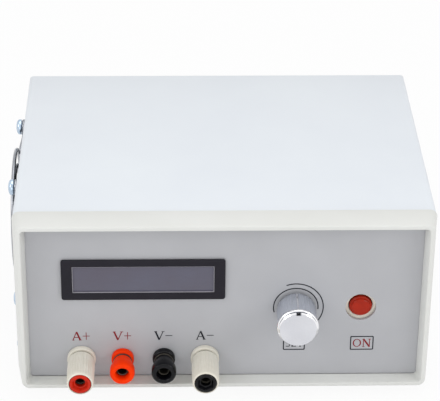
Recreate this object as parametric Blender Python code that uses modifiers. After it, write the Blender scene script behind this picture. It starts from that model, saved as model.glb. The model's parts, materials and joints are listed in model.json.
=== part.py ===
"""Bench electronic load: a steel case with a moulded front, binding posts, a display, a knob and a fan.

Metres, +Z up. The front faces -Y, and +X is on the right of someone who looks at the front. Sizes are
written from the front rim (y = 0), the middle of the bezel (x = 0) and the surface that the feet stand on
(z = 0). The empty unit_frame then moves everything so that the origin lies below the middle of the unit.
"""

import math

import bmesh
import bpy
from mathutils import Matrix, Vector

MM = 0.001

# Clearance between touching pieces, and round what passes through a hole
GAP = 0.3 * MM

# Feet
FOOT_HEIGHT = 5.0 * MM
FOOT_RADIUS = 6.5 * MM
FOOT_STEM_RADIUS = 2.0 * MM
FOOT_SIDE_INSET = 17.0 * MM
FOOT_FRONT = 27.0 * MM
FOOT_REAR = 138.0 * MM

# Moulded front bezel
BEZEL_WIDTH = 192.0 * MM
BEZEL_SIDE_TAPER = 2.5 * MM
BEZEL_HEIGHT = 86.2 * MM
BEZEL_DEPTH = 14.8 * MM
BEZEL_CORNER = 3.6 * MM
BEZEL_EDGE_ROUND = 0.8 * MM
BEZEL_WALL = 2.2 * MM
RIM_THICKNESS = 2.0 * MM
RECESS_DEPTH = 7.0 * MM
OPENING_SIDE_INSET = 3.7 * MM
OPENING_TOP_INSET = 2.9 * MM
OPENING_BOTTOM_INSET = 2.5 * MM
OPENING_CORNER = 1.0 * MM

# Front panel
PANEL_THICKNESS = 1.5 * MM

# Sheet metal case
COVER_SIDE_INSET = 0.35 * MM
COVER_TOP = 85.2 * MM
COVER_REAR = 155.0 * MM
COVER_SHEET = 1.0 * MM
COVER_BEND = 1.6 * MM
COVER_LOWER_EDGE = 0.6 * MM
TRAY_SHEET = 1.2 * MM
TRAY_FLANGE_HEIGHT = 7.4 * MM
REAR_SHEET = 1.2 * MM
REAR_SET_IN = 1.5 * MM
COVER_SCREW_HEIGHT = 4.4 * MM
COVER_SCREW_FRONT = 32.0 * MM
COVER_SCREW_REAR = 134.0 * MM
COVER_SCREW_SHANK = 1.5 * MM
COVER_SCREW_HEAD = 2.8 * MM
COVER_SCREW_HEAD_HEIGHT = 1.7 * MM
COVER_SCREW_LENGTH = 6.0 * MM

# Louvre slots in the right wall
VENT_SLOTS = 9
VENT_PITCH = 6.4 * MM
VENT_WIDTH = 3.0 * MM
VENT_LENGTH = 46.0 * MM

# Display, left of the middle as a share of the bezel's width, and up from the bezel's bottom
DISPLAY_SHARE = 0.1927
DISPLAY_Z = 55.1 * MM
DISPLAY_WINDOW_WIDTH = 64.5 * MM
DISPLAY_WINDOW_HEIGHT = 13.9 * MM
DISPLAY_FRAME_WIDTH = 74.5 * MM
DISPLAY_FRAME_HEIGHT = 21.1 * MM
DISPLAY_FRAME_CORNER = 1.2 * MM
DISPLAY_FRAME_PROUD = 0.8 * MM
DISPLAY_FRAME_SHELF = 1.0 * MM
DISPLAY_GLASS_DEPTH = 5.2 * MM
DISPLAY_PANE_SET_BACK = 0.8 * MM
DISPLAY_BOARD_WIDTH = 80.0 * MM
DISPLAY_BOARD_HEIGHT = 36.0 * MM
BOARD_THICKNESS = 1.6 * MM

# Rotary encoder and its knob
KNOB_SHARE = 0.1703
KNOB_Z = 39.3 * MM
KNOB_RADIUS = 9.5 * MM
KNOB_BODY_RADIUS = 8.9 * MM
KNOB_FACE_OUT = 19.0 * MM
KNOB_STANDS_OFF = 2.3 * MM
KNOB_FLUTES = 32
KNOB_FLUTE_DEPTH = 0.45 * MM
KNOB_RIM_LENGTH = 3.0 * MM
KNOB_CHAMFER = 1.1 * MM
KNOB_POCKET_RADIUS = 6.6 * MM
KNOB_BORE_DEPTH = 11.0 * MM
KNOB_INDICATOR_WIDTH = 1.2 * MM
KNOB_INDICATOR_LENGTH = 2.6 * MM
KNOB_INDICATOR_DEPTH = 0.7 * MM
KNOB_POINTER_WIDTH = 0.8 * MM
KNOB_POINTER_DEPTH = 0.5 * MM
KNOB_GROOVE_DEPTH = 0.35 * MM
ENCODER_SIDE = 12.5 * MM
ENCODER_DEPTH = 7.0 * MM
ENCODER_WALL = 1.0 * MM
ENCODER_BUSH_RADIUS = 3.5 * MM
ENCODER_BUSH_OUT = 3.6 * MM
ENCODER_SHAFT_RADIUS = 2.4 * MM
ENCODER_SHAFT_TAIL = 2.0 * MM
ENCODER_ROTOR_RADIUS = 4.6 * MM
ENCODER_ROTOR_THICKNESS = 2.2 * MM
ENCODER_NUT_RADIUS = 5.6 * MM
ENCODER_NUT_THICKNESS = 1.6 * MM

# Push button, in a hole of the panel whose floor is a ring behind it
BUTTON_SHARE = 0.326
BUTTON_Z = 39.2 * MM
BUTTON_HOLE_RADIUS = 7.05 * MM
BUTTON_RING_RADIUS = 8.4 * MM
BUTTON_RING_THICKNESS = 1.2 * MM
BUTTON_CAP_RADIUS = 5.2 * MM
BUTTON_CAP_PROUD = 0.4 * MM
BUTTON_CAP_LENGTH = 9.0 * MM
BUTTON_DISC_RADIUS = 4.2 * MM
BUTTON_DISC_STEP = 0.7 * MM
BUTTON_EDGE = 0.3 * MM
BUTTON_TRAVEL = 1.5 * MM
BUTTON_HOUSING_DEPTH = 17.0 * MM
BUTTON_HOUSING_RADIUS = 7.2 * MM

# Binding posts, whose middle is given from the bezel's left side
POSTS_SHARE = 0.1948
POST_Z = 12.4 * MM
POST_PITCH = 19.05 * MM
POST_TAIL = 13.0 * MM
STUD_BORE_RADIUS = 2.05 * MM
STUD_BORE_DEPTH = 14.0 * MM
POST_WASHER_THICKNESS = 0.8 * MM
POST_WASHER_INSET = 0.8 * MM
POST_NUT_THICKNESS = 3.0 * MM
POST_NUT_RATIO = 1.9
POST_EDGE = 0.4 * MM
LARGE_STUD_RADIUS = 3.0 * MM
LARGE_COLLAR_RADIUS = 6.6 * MM
LARGE_COLLAR_LENGTH = 2.4 * MM
LARGE_COLLAR_DOME = 1.1 * MM
LARGE_CAP_RADIUS = 6.3 * MM
LARGE_CAP_OUT = 21.7 * MM
LARGE_CAP_EDGE = 0.7 * MM
LARGE_CAP_RIBS = 22
LARGE_CAP_RIB_DEPTH = 0.4 * MM
LARGE_INSERT_RADIUS = 4.9 * MM
LARGE_INSERT_PROUD = 0.5 * MM
LARGE_INSERT_DEPTH = 3.4 * MM
LARGE_HEX_RADIUS = 3.3 * MM
LARGE_HEX_DEPTH = 1.0 * MM
LARGE_STUD_SET_BACK = 3.4 * MM
SMALL_STUD_RADIUS = 2.8 * MM
SMALL_COLLAR_RADIUS = 5.2 * MM
SMALL_COLLAR_LENGTH = 2.8 * MM
SMALL_CAP_RADIUS = 5.7 * MM
SMALL_WAIST_RADIUS = 4.3 * MM
SMALL_CAP_OUT = 14.4 * MM
SMALL_CAP_EDGE = 0.6 * MM
SMALL_HEAD_LENGTH = 5.4 * MM
SMALL_STUD_SET_BACK = 3.3 * MM
JACK_HOLE_RADIUS = 2.3 * MM

# Fan in the left wall, which fills the height between the tray's flange and the cover's top
FAN_FLANGE_CLEARANCE = 1.3 * MM
FAN_TOP_CLEARANCE = 4.9 * MM
FAN_THICKNESS = 15.0 * MM
FAN_HOLE_TO_EDGE = 4.25 * MM
FAN_Y = 87.8 * MM
FAN_DUCT_WALL = 2.0 * MM
FAN_HUB_RADIUS = 14.0 * MM
FAN_BLADES = 7
FAN_BLADE_TIP_GAP = 1.2 * MM
FAN_BLADE_THICKNESS = 1.2 * MM
FAN_BLADE_LENGTH = 9.5 * MM
FAN_BLADE_SWEEP = math.radians(24)
FAN_BLADE_ROOT_PITCH = math.radians(56)
FAN_BLADE_TIP_PITCH = math.radians(34)
FAN_BLADE_STATIONS = 4
FAN_SPOKES = 3
FAN_SPOKE_WIDTH = 3.0 * MM
FAN_SPOKE_DEPTH = 2.4 * MM
FAN_HUB_EDGE = 1.0 * MM
FAN_SPINDLE_RADIUS = 1.5 * MM
FAN_SCREW_HOLE = 2.2 * MM
GUARD_WIRE_RADIUS = 0.9 * MM
GUARD_RINGS = 4
GUARD_RING_SIDES = 10
GUARD_RING_MORE_SIDES = 4
GUARD_EYE_SIDES = 8
GUARD_DUCT_CLEARANCE = 2.6 * MM
GUARD_DOME = 2.6 * MM
GUARD_EYE_RADIUS = 2.9 * MM
GUARD_SCREW_SHANK = 1.9 * MM
GUARD_SCREW_HEAD = 3.8 * MM
GUARD_SCREW_HEAD_HEIGHT = 2.5 * MM
GUARD_SCREW_LENGTH = 17.0 * MM

# Power stage
BOARD_BOSS_HEIGHT = 6.0 * MM
BOARD_BOSS_RADIUS = 3.0 * MM
BOARD_FRONT = 37.0 * MM
BOARD_REAR = 147.0 * MM
BOARD_FAN_CLEARANCE = 6.9 * MM
BOARD_SIDE_CLEARANCE = 15.2 * MM
SINK_END_INSET = 21.0 * MM
SINK_BASE_FRONT = 112.0 * MM
SINK_BASE_THICKNESS = 6.0 * MM
SINK_HEIGHT = 64.0 * MM
SINK_FIN_DEPTH = 44.0 * MM
SINK_FIN_THICKNESS = 2.0 * MM
SINK_FINS = 9
TRANSISTOR_WIDTH = 15.8 * MM
TRANSISTOR_HEIGHT = 20.0 * MM
TRANSISTOR_THICKNESS = 5.0 * MM
TRANSISTOR_PITCH = 44.0 * MM
TRANSISTOR_LEAD = 14.0 * MM
TRANSISTOR_EDGE = 0.5 * MM
LEAD_PITCH = 5.45 * MM
LEAD_WIDTH = 1.2 * MM
LEAD_THICKNESS = 0.8 * MM
SHUNT_LENGTH = 24.0 * MM
SHUNT_FROM_BOARD_SIDE = 35.5 * MM
SHUNT_RADIUS = 1.0 * MM
SHUNT_HEIGHT = 8.0 * MM
SHUNT_BEND = 2.0 * MM
SHUNT_BEHIND_EDGE = 14.0 * MM

# Rear sockets, from the cover's right side
JACK_FROM_RIGHT = 32.7 * MM
SOCKET_TO_JACK = 28.0 * MM
REAR_SOCKET_Z = 17.0 * MM
DC_FLANGE_RADIUS = 6.6 * MM
DC_FLANGE_THICKNESS = 1.6 * MM
DC_FLANGE_EDGE = 0.4 * MM
DC_BARREL_RADIUS = 5.2 * MM
DC_BARREL_LENGTH = 12.0 * MM
DC_BORE_RADIUS = 2.85 * MM
DC_BORE_DEPTH = 9.5 * MM
DC_PIN_RADIUS = 1.05 * MM
SOCKET_WIDTH = 12.0 * MM
SOCKET_HEIGHT = 10.8 * MM
SOCKET_WALL = 1.6 * MM
SOCKET_DEPTH = 15.0 * MM
SOCKET_TONGUE_HEIGHT = 3.2 * MM
SOCKET_PROUD = 0.8 * MM

# Places that follow from the sizes above
BASE_Z = FOOT_HEIGHT
PANEL_FRONT = RECESS_DEPTH
PANEL_REAR = PANEL_FRONT + PANEL_THICKNESS
DISPLAY_X = -DISPLAY_SHARE * BEZEL_WIDTH
POSTS_X = -POSTS_SHARE * BEZEL_WIDTH
BUTTON_X = BUTTON_SHARE * BEZEL_WIDTH
KNOB_X = KNOB_SHARE * BEZEL_WIDTH
COVER_FRONT = BEZEL_DEPTH + GAP
COVER_HALF = BEZEL_WIDTH / 2 - COVER_SIDE_INSET
COVER_INNER_HALF = COVER_HALF - COVER_SHEET
CASE_TOP = BASE_Z + COVER_TOP
TRAY_HALF = COVER_INNER_HALF - GAP
TRAY_LOW = BASE_Z + COVER_LOWER_EDGE
TRAY_FLOOR = TRAY_LOW + TRAY_SHEET
TRAY_FRONT = COVER_FRONT + GAP
REAR_FRONT_FACE = COVER_REAR - REAR_SET_IN - REAR_SHEET
TRAY_REAR = REAR_FRONT_FACE - GAP
BOARD_LOW = TRAY_FLOOR + BOARD_BOSS_HEIGHT + GAP
BOARD_TOP = BOARD_LOW + BOARD_THICKNESS
FAN_LOW = COVER_LOWER_EDGE + TRAY_FLANGE_HEIGHT + FAN_FLANGE_CLEARANCE
FAN_HIGH = COVER_TOP - COVER_SHEET - FAN_TOP_CLEARANCE
FAN_SIDE = FAN_HIGH - FAN_LOW
FAN_Z = (FAN_LOW + FAN_HIGH) / 2
FAN_HOLE_PITCH = FAN_SIDE - 2 * FAN_HOLE_TO_EDGE
FAN_DUCT_RADIUS = FAN_SIDE / 2 - FAN_DUCT_WALL
GUARD_RING_PITCH = (FAN_DUCT_RADIUS - GUARD_DUCT_CLEARANCE) / GUARD_RINGS
BOARD_LEFT = GAP + FAN_THICKNESS + BOARD_FAN_CLEARANCE - COVER_INNER_HALF
BOARD_RIGHT = COVER_INNER_HALF - BOARD_SIDE_CLEARANCE
SINK_LENGTH = BOARD_RIGHT - BOARD_LEFT - 2 * SINK_END_INSET
SINK_X = (BOARD_LEFT + BOARD_RIGHT) / 2
JACK_X = COVER_HALF - JACK_FROM_RIGHT
SOCKET_X = JACK_X - SOCKET_TO_JACK
GUARD_SCREW_OUT = GUARD_WIRE_RADIUS * 2 + GUARD_SCREW_HEAD_HEIGHT + 2 * GAP
UNIT_LEFT = -COVER_HALF - GUARD_SCREW_OUT
UNIT_RIGHT = BEZEL_WIDTH / 2 + max(0.0, COVER_HALF + GAP + COVER_SCREW_HEAD_HEIGHT - BEZEL_WIDTH / 2)
UNIT_FRONT = PANEL_FRONT - LARGE_CAP_OUT - LARGE_INSERT_PROUD
UNIT_REAR = max(COVER_REAR, REAR_FRONT_FACE + REAR_SHEET + GAP + DC_FLANGE_THICKNESS)
UNIT_CENTRE_X = (UNIT_LEFT + UNIT_RIGHT) / 2
UNIT_CENTRE_Y = (UNIT_FRONT + UNIT_REAR) / 2

FORWARD = "forward"
LEFTWARD = "leftward"
RIGHTWARD = "rightward"
UPWARD = "upward"
REARWARD = "rearward"
# Turns a shape that is drawn along +Z so that it points the named way
DIRECTIONS = {
    UPWARD: (0.0, 0.0, 0.0),
    FORWARD: (math.pi / 2, 0.0, 0.0),
    REARWARD: (-math.pi / 2, 0.0, 0.0),
    LEFTWARD: (0.0, -math.pi / 2, 0.0),
    RIGHTWARD: (0.0, math.pi / 2, 0.0),
}


def clear_scene():
    for obj in list(bpy.data.objects):
        bpy.data.objects.remove(obj, do_unlink=True)


def new_collection(name, hidden=False):
    collection = bpy.data.collections.new(name)
    collection.hide_render = hidden
    bpy.context.scene.collection.children.link(collection)
    return collection


def new_material(name, colour, roughness, metallic=0.0):
    material = bpy.data.materials.new(name)
    material.use_nodes = True
    shader = material.node_tree.nodes["Principled BSDF"]
    shader.inputs["Base Color"].default_value = (*colour, 1.0)
    shader.inputs["Roughness"].default_value = roughness
    shader.inputs["Metallic"].default_value = metallic
    return material


def add_object(name, data, place, material=None, direction=UPWARD):
    """Links a part, or a cutter when it has no material, under the unit's frame."""
    obj = bpy.data.objects.new(name, data)
    if material:
        PARTS.objects.link(obj)
        data.materials.append(material)
    else:
        CUTTERS.objects.link(obj)
        obj.hide_render = True
        obj.display_type = "WIRE"
    obj.parent = UNIT_FRAME
    obj.location = place
    obj.rotation_euler = DIRECTIONS[direction]
    return obj


def mesh_from(name, bm, smooth=True):
    mesh = bpy.data.meshes.new(name)
    bmesh.ops.recalc_face_normals(bm, faces=bm.faces)
    bm.to_mesh(mesh)
    bm.free()
    if smooth:
        mesh.shade_smooth()
        mesh.set_sharp_from_angle(angle=math.radians(35))
    return mesh


def add_box(name, low, high, material=None, bevel=0.0):
    """A box between two corners, with its origin at its middle."""
    low, high = Vector(low), Vector(high)
    bm = bmesh.new()
    bmesh.ops.create_cube(bm, size=1.0)
    bmesh.ops.scale(bm, vec=high - low, verts=bm.verts)
    obj = add_object(name, mesh_from(name, bm, smooth=False), (low + high) / 2, material)
    if bevel:
        modifier = obj.modifiers.new("Edges", "BEVEL")
        modifier.width = bevel
        modifier.segments = 1
    return obj


def add_cylinder(name, radius, depth, place, direction, material=None, sides=24):
    """A cylinder that starts at its place and runs the given way."""
    bm = bmesh.new()
    bmesh.ops.create_cone(
        bm, cap_ends=True, segments=sides, radius1=radius, radius2=radius, depth=depth,
        matrix=Matrix.Translation((0.0, 0.0, depth / 2)),
    )
    return add_object(name, mesh_from(name, bm), place, material, direction)


def add_turned(name, profile, place, direction, material=None, steps=24):
    """Turns a closed profile of (radius, distance) round the axis. It runs down its outer side."""
    mesh = bpy.data.meshes.new(name)
    edges = [(i, (i + 1) % len(profile)) for i in range(len(profile))]
    if profile[0][0] == 0.0 and profile[-1][0] == 0.0:
        edges.pop()
    mesh.from_pydata([(radius, 0.0, distance) for radius, distance in profile], edges, [])
    obj = add_object(name, mesh, place, material, direction)
    screw = obj.modifiers.new("Turn", "SCREW")
    screw.steps = steps
    screw.render_steps = steps
    screw.use_merge_vertices = True
    screw.merge_threshold = 1e-5
    screw.use_smooth_shade = True
    return obj


def rounded_outline(left, right, low, high, corner, segments=3):
    """The points of a rectangle with rounded corners, in the XZ plane, anticlockwise from the lower right."""
    centres = [
        (right - corner, low + corner, -math.pi / 2),
        (right - corner, high - corner, 0.0),
        (left + corner, high - corner, math.pi / 2),
        (left + corner, low + corner, math.pi),
    ]
    points = []
    for x, z, start in centres:
        for step in range(segments + 1):
            angle = start + step * math.pi / 2 / segments
            points.append((x + corner * math.cos(angle), z + corner * math.sin(angle)))
    return points


def add_loft(name, sections, material=None, place=(0.0, 0.0, 0.0), ring=True):
    """Joins outlines of equal length, each with its y. A ring closes from the last to the first."""
    bm = bmesh.new()
    loops = [[bm.verts.new((x, y, z)) for x, z in outline] for outline, y in sections]
    pairs = list(zip(loops, loops[1:]))
    if ring:
        pairs.append((loops[-1], loops[0]))
    for first, second in pairs:
        for i in range(len(first)):
            j = (i + 1) % len(first)
            bm.faces.new((first[i], first[j], second[j], second[i]))
    if not ring:
        bm.faces.new(loops[0])
        bm.faces.new(loops[-1])
    return add_object(name, mesh_from(name, bm), place, material)


def to_mesh(obj):
    """Turns a curve into a mesh object of the same name, with its caps welded."""
    graph = bpy.context.evaluated_depsgraph_get()
    mesh = bpy.data.meshes.new_from_object(obj.evaluated_get(graph))
    bm = bmesh.new()
    bm.from_mesh(mesh)
    bmesh.ops.remove_doubles(bm, verts=bm.verts, dist=1e-6)
    bmesh.ops.recalc_face_normals(bm, faces=bm.faces)
    bm.to_mesh(mesh)
    bm.free()
    name = obj.name
    solid = bpy.data.objects.new(name + "_mesh", mesh)
    for collection in obj.users_collection:
        collection.objects.link(solid)
    solid.hide_render = obj.hide_render
    solid.display_type = obj.display_type
    solid.parent = obj.parent
    solid.matrix_basis = obj.matrix_basis.copy()
    curve = obj.data
    bpy.data.objects.remove(obj, do_unlink=True)
    bpy.data.curves.remove(curve)
    solid.name = name
    return solid


def add_extrusion(name, outline, depth, place, direction, material=None):
    """A flat outline with the given thickness, centred on its place."""
    curve = bpy.data.curves.new(name, "CURVE")
    curve.dimensions = "2D"
    curve.fill_mode = "BOTH"
    curve.extrude = depth / 2
    spline = curve.splines.new("POLY")
    spline.points.add(len(outline) - 1)
    for point, (x, y) in zip(spline.points, outline):
        point.co = (x, y, 0.0, 1.0)
    spline.use_cyclic_u = True
    return to_mesh(add_object(name, curve, place, material, direction))


def add_wire(name, points, radius, material=None, closed=False, bevel_resolution=1):
    curve = bpy.data.curves.new(name, "CURVE")
    curve.dimensions = "3D"
    curve.bevel_depth = radius
    curve.bevel_resolution = bevel_resolution
    curve.use_fill_caps = True
    spline = curve.splines.new("POLY")
    spline.points.add(len(points) - 1)
    for point, place in zip(spline.points, points):
        point.co = (*place, 1.0)
    spline.use_cyclic_u = closed
    return to_mesh(add_object(name, curve, (0.0, 0.0, 0.0), material))


def boolean(target, other, operation="DIFFERENCE"):
    modifier = target.modifiers.new(other.name, "BOOLEAN")
    modifier.operation = operation
    modifier.solver = "EXACT"
    modifier.object = other
    return target


def drill(target, radius, place, direction, depth, sides=24):
    """Cuts a round hole that starts a little before its place and runs the given way."""
    tool = add_cylinder(f"{target.name}_drill", radius, depth, place, direction, sides=sides)
    return boolean(target, tool)


def regular_outline(corners, radius, turn=0.0):
    """The corner points of a regular polygon round the origin."""
    angles = [turn + 2 * math.pi * i / corners for i in range(corners)]
    return [(radius * math.cos(a), radius * math.sin(a)) for a in angles]


def ribbed_outline(ribs, radius, depth):
    """A round outline with flat-topped ribs of the given depth."""
    points = []
    for rib in range(ribs):
        for share, reach in ((0.0, radius), (0.5, radius), (0.62, radius - depth), (0.88, radius - depth)):
            angle = 2 * math.pi * (rib + share) / ribs
            points.append((reach * math.cos(angle), reach * math.sin(angle)))
    return points


def add_pan_screw(name, shank, head, head_height, length, place, direction, material):
    """A pan head screw. Its place is under the head, and it points the way its head faces."""
    profile = [
        (0.0, head_height),
        (head * 0.6, head_height * 0.95),
        (head, head_height * 0.4),
        (head, 0.0),
        (shank, 0.0),
        (shank, -length),
        (0.0, -length),
    ]
    return add_turned(name, profile, place, direction, material, steps=10)


def build_bezel():
    """A mitred frame: outer wall, rounded front edge, thin rim, sloping inner walls, panel pocket."""
    half, front_half = BEZEL_WIDTH / 2, BEZEL_WIDTH / 2 - BEZEL_SIDE_TAPER
    low, high = BASE_Z, BASE_Z + BEZEL_HEIGHT
    pocket = half - BEZEL_WALL
    lip_rear = PANEL_FRONT - GAP

    def outline(half_width, low_inset, high_inset, corner):
        return rounded_outline(-half_width, half_width, low + low_inset, high - high_inset, corner, 4)

    rounding, rim = BEZEL_EDGE_ROUND, RIM_THICKNESS
    opening_half = front_half - OPENING_SIDE_INSET
    pocket_outline = outline(pocket, BEZEL_WALL, BEZEL_WALL, OPENING_CORNER)
    opening = outline(opening_half, OPENING_BOTTOM_INSET, OPENING_TOP_INSET, OPENING_CORNER)
    front_share = rounding / BEZEL_DEPTH
    side = front_half + (half - front_half) * front_share
    sections = [
        (outline(half, 0.0, 0.0, BEZEL_CORNER), BEZEL_DEPTH),
        (outline(side, 0.0, 0.0, BEZEL_CORNER), rounding),
        (outline(side - rounding * 0.3, rounding * 0.3, rounding * 0.3, BEZEL_CORNER), rounding * 0.3),
        (outline(front_half - rounding, rounding, rounding, BEZEL_CORNER - rounding / 2), 0.0),
        (outline(front_half - rim, rim, rim, OPENING_CORNER * 1.5), 0.0),
        (opening, lip_rear),
        (pocket_outline, lip_rear),
        (pocket_outline, BEZEL_DEPTH),
    ]
    return add_loft("front_bezel", sections, BEZEL_ABS)


def panel_bounds():
    """Left, right, low and high edge of the panel in its pocket."""
    half = BEZEL_WIDTH / 2 - BEZEL_WALL - GAP
    return -half, half, BASE_Z + BEZEL_WALL + GAP, BASE_Z + BEZEL_HEIGHT - BEZEL_WALL - GAP


def build_front_panel():
    outline = rounded_outline(*panel_bounds(), OPENING_CORNER)
    panel = add_loft(
        "front_panel", [(outline, PANEL_FRONT), (outline, PANEL_REAR)], PANEL_PAINT, ring=False
    )
    shelf = DISPLAY_FRAME_SHELF - GAP
    window = display_outline(DISPLAY_FRAME_WIDTH / 2 - shelf, DISPLAY_FRAME_HEIGHT / 2 - shelf)
    through = PANEL_THICKNESS * 2
    cutter = add_loft(
        "panel_window", [(window, PANEL_FRONT - through), (window, PANEL_REAR + through)], ring=False
    )
    boolean(panel, cutter)
    holes = [(KNOB_X, KNOB_Z, ENCODER_BUSH_RADIUS + GAP, 20), (BUTTON_X, BUTTON_Z, BUTTON_HOLE_RADIUS, 32)]
    holes += [(x, POST_Z, stud + GAP, 16) for _, x, stud in post_places()]
    for x, z, radius, sides in holes:
        drill(panel, radius, (x, PANEL_REAR + through, BASE_Z + z), FORWARD, 3 * through, sides=sides)
    return panel


def build_case():
    cover = build_cover()
    tray = build_tray()
    rear = build_rear_panel()
    for number, (x, y) in enumerate(foot_places(), 1):
        build_foot(f"foot_{number}", x, y)
        drill(tray, FOOT_STEM_RADIUS + GAP, (x, y, TRAY_LOW - TRAY_SHEET), UPWARD, TRAY_SHEET * 3, sides=16)
    for number, (side, y) in enumerate(cover_screw_places(), 1):
        z = BASE_Z + COVER_SCREW_HEIGHT
        direction = RIGHTWARD if side > 0 else LEFTWARD
        seat = COVER_HALF + GAP
        start = side * (COVER_HALF - COVER_SCREW_LENGTH)
        for wall in (cover, tray):
            drill(wall, COVER_SCREW_SHANK + GAP, (start, y, z), direction, COVER_SCREW_LENGTH * 2, sides=12)
        add_pan_screw(
            f"cover_screw_{number}", COVER_SCREW_SHANK, COVER_SCREW_HEAD, COVER_SCREW_HEAD_HEIGHT,
            COVER_SCREW_LENGTH, (side * seat, y, z), direction, ZINC,
        )
    return cover, tray, rear


def foot_places():
    x = COVER_HALF - FOOT_SIDE_INSET
    return [(side * x, y) for y in (FOOT_FRONT, FOOT_REAR) for side in (-1, 1)]


def cover_screw_places():
    return [(side, y) for side in (-1, 1) for y in (COVER_SCREW_FRONT, COVER_SCREW_REAR)]


def build_cover():
    """The folded top and side walls, as an open surface with a thickness."""
    half, top, low = COVER_HALF, CASE_TOP, BASE_Z + COVER_LOWER_EDGE
    bend = COVER_BEND
    profile = [(-half, low)]
    for centre_x, start in ((-half + bend, math.pi), (half - bend, math.pi / 2)):
        for step in range(5):
            angle = start - step * math.pi / 8
            profile.append((centre_x + bend * math.cos(angle), top - bend + bend * math.sin(angle)))
    profile.append((half, low))
    bm = bmesh.new()
    front = [bm.verts.new((x, COVER_FRONT, z)) for x, z in profile]
    rear = [bm.verts.new((x, COVER_REAR, z)) for x, z in profile]
    for i in range(len(profile) - 1):
        bm.faces.new((front[i], front[i + 1], rear[i + 1], rear[i]))
    cover = add_object("top_cover", mesh_from("top_cover", bm), (0.0, 0.0, 0.0), COVER_PAINT)
    upward = next(p for p in cover.data.polygons if abs(p.normal.z) > 0.9)
    shell = cover.modifiers.new("Sheet", "SOLIDIFY")
    shell.thickness = COVER_SHEET
    shell.offset = -1.0 if upward.normal.z > 0 else 1.0
    shell.use_even_offset = True
    cut_fan_opening(cover)
    cut_vents(cover)
    return cover


def cut_fan_opening(cover):
    start = -COVER_INNER_HALF + COVER_SHEET
    depth = COVER_SHEET * 4
    drill(cover, FAN_DUCT_RADIUS, (start, FAN_Y, BASE_Z + FAN_Z), LEFTWARD, depth, sides=40)
    for y, z in fan_screw_places():
        drill(cover, GUARD_SCREW_SHANK + GAP, (start, y, z), LEFTWARD, depth, sides=12)


def cut_vents(cover):
    """Round-ended slots in the right wall, one above another."""
    first = BASE_Z + FAN_Z - VENT_PITCH * (VENT_SLOTS - 1) / 2
    radius = VENT_WIDTH / 2
    outline = rounded_outline(-radius, radius, -VENT_LENGTH / 2, VENT_LENGTH / 2, radius * 0.99, segments=2)
    for slot in range(VENT_SLOTS):
        place = (COVER_HALF, FAN_Y, first + slot * VENT_PITCH)
        tool = add_extrusion(f"vent_{slot}", outline, COVER_SHEET * 6, place, RIGHTWARD)
        boolean(cover, tool)


def build_tray():
    """The bottom pan: a floor with four low walls turned up, and bosses for the board."""
    low = Vector((-TRAY_HALF, TRAY_FRONT, TRAY_LOW))
    high = Vector((TRAY_HALF, TRAY_REAR, TRAY_LOW + TRAY_FLANGE_HEIGHT))
    bm = bmesh.new()
    bmesh.ops.create_cube(bm, size=1.0)
    bmesh.ops.scale(bm, vec=high - low, verts=bm.verts)
    bmesh.ops.translate(bm, vec=(high + low) / 2, verts=bm.verts)
    bm.faces.ensure_lookup_table()
    upper = max(bm.faces, key=lambda face: face.calc_center_median().z)
    bmesh.ops.delete(bm, geom=[upper], context="FACES_ONLY")
    bmesh.ops.recalc_face_normals(bm, faces=bm.faces)
    mesh = bpy.data.meshes.new("base_tray")
    bm.to_mesh(mesh)
    bm.free()
    tray = add_object("base_tray", mesh, (0.0, 0.0, 0.0), TRAY_PAINT)
    floor = next(p for p in mesh.polygons if abs(p.normal.z) > 0.9)
    shell = tray.modifiers.new("Sheet", "SOLIDIFY")
    shell.thickness = TRAY_SHEET
    shell.offset = -1.0 if floor.normal.z < 0 else 1.0
    shell.use_even_offset = True
    for number, (x, y) in enumerate(board_boss_places()):
        depth = BOARD_BOSS_HEIGHT + TRAY_SHEET / 2
        start = (x, y, TRAY_FLOOR - TRAY_SHEET / 2)
        boss = add_cylinder(f"board_boss_{number}", BOARD_BOSS_RADIUS, depth, start, UPWARD, sides=12)
        boolean(tray, boss, "UNION")
    return tray


def board_boss_places():
    inset = BOARD_BOSS_RADIUS * 2
    xs = (BOARD_LEFT + inset, BOARD_RIGHT - inset)
    return [(x, y) for y in (BOARD_FRONT + inset, BOARD_REAR - inset) for x in xs]


def build_rear_panel():
    half = TRAY_HALF
    low, high = TRAY_LOW, CASE_TOP - COVER_SHEET - GAP
    rear = add_box(
        "rear_panel", (-half, REAR_FRONT_FACE, low), (half, REAR_FRONT_FACE + REAR_SHEET, high), TRAY_PAINT
    )
    start = REAR_FRONT_FACE - REAR_SHEET
    z = BASE_Z + REAR_SOCKET_Z
    drill(rear, DC_BARREL_RADIUS + GAP, (JACK_X, start, z), REARWARD, REAR_SHEET * 4)
    half_w, half_h = SOCKET_WIDTH / 2 + GAP, SOCKET_HEIGHT / 2 + GAP
    opening = add_box(
        "rear_socket_opening", (SOCKET_X - half_w, start, z - half_h),
        (SOCKET_X + half_w, start + REAR_SHEET * 4, z + half_h),
    )
    return boolean(rear, opening)


def build_foot(name, x, y):
    """A tapered rubber foot with a stem through the tray."""
    top = TRAY_LOW - GAP
    profile = [
        (0.0, TRAY_FLOOR + GAP),
        (FOOT_STEM_RADIUS, TRAY_FLOOR + GAP),
        (FOOT_STEM_RADIUS, top),
        (FOOT_RADIUS, top),
        (FOOT_RADIUS * 0.88, 0.5 * MM),
        (FOOT_RADIUS * 0.82, 0.0),
        (0.0, 0.0),
    ]
    return add_turned(name, profile, (x, y, 0.0), UPWARD, RUBBER, steps=14)


def display_outline(half_width, half_height, corner=DISPLAY_FRAME_CORNER):
    z = BASE_Z + DISPLAY_Z
    return rounded_outline(
        DISPLAY_X - half_width, DISPLAY_X + half_width, z - half_height, z + half_height, corner
    )


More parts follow.
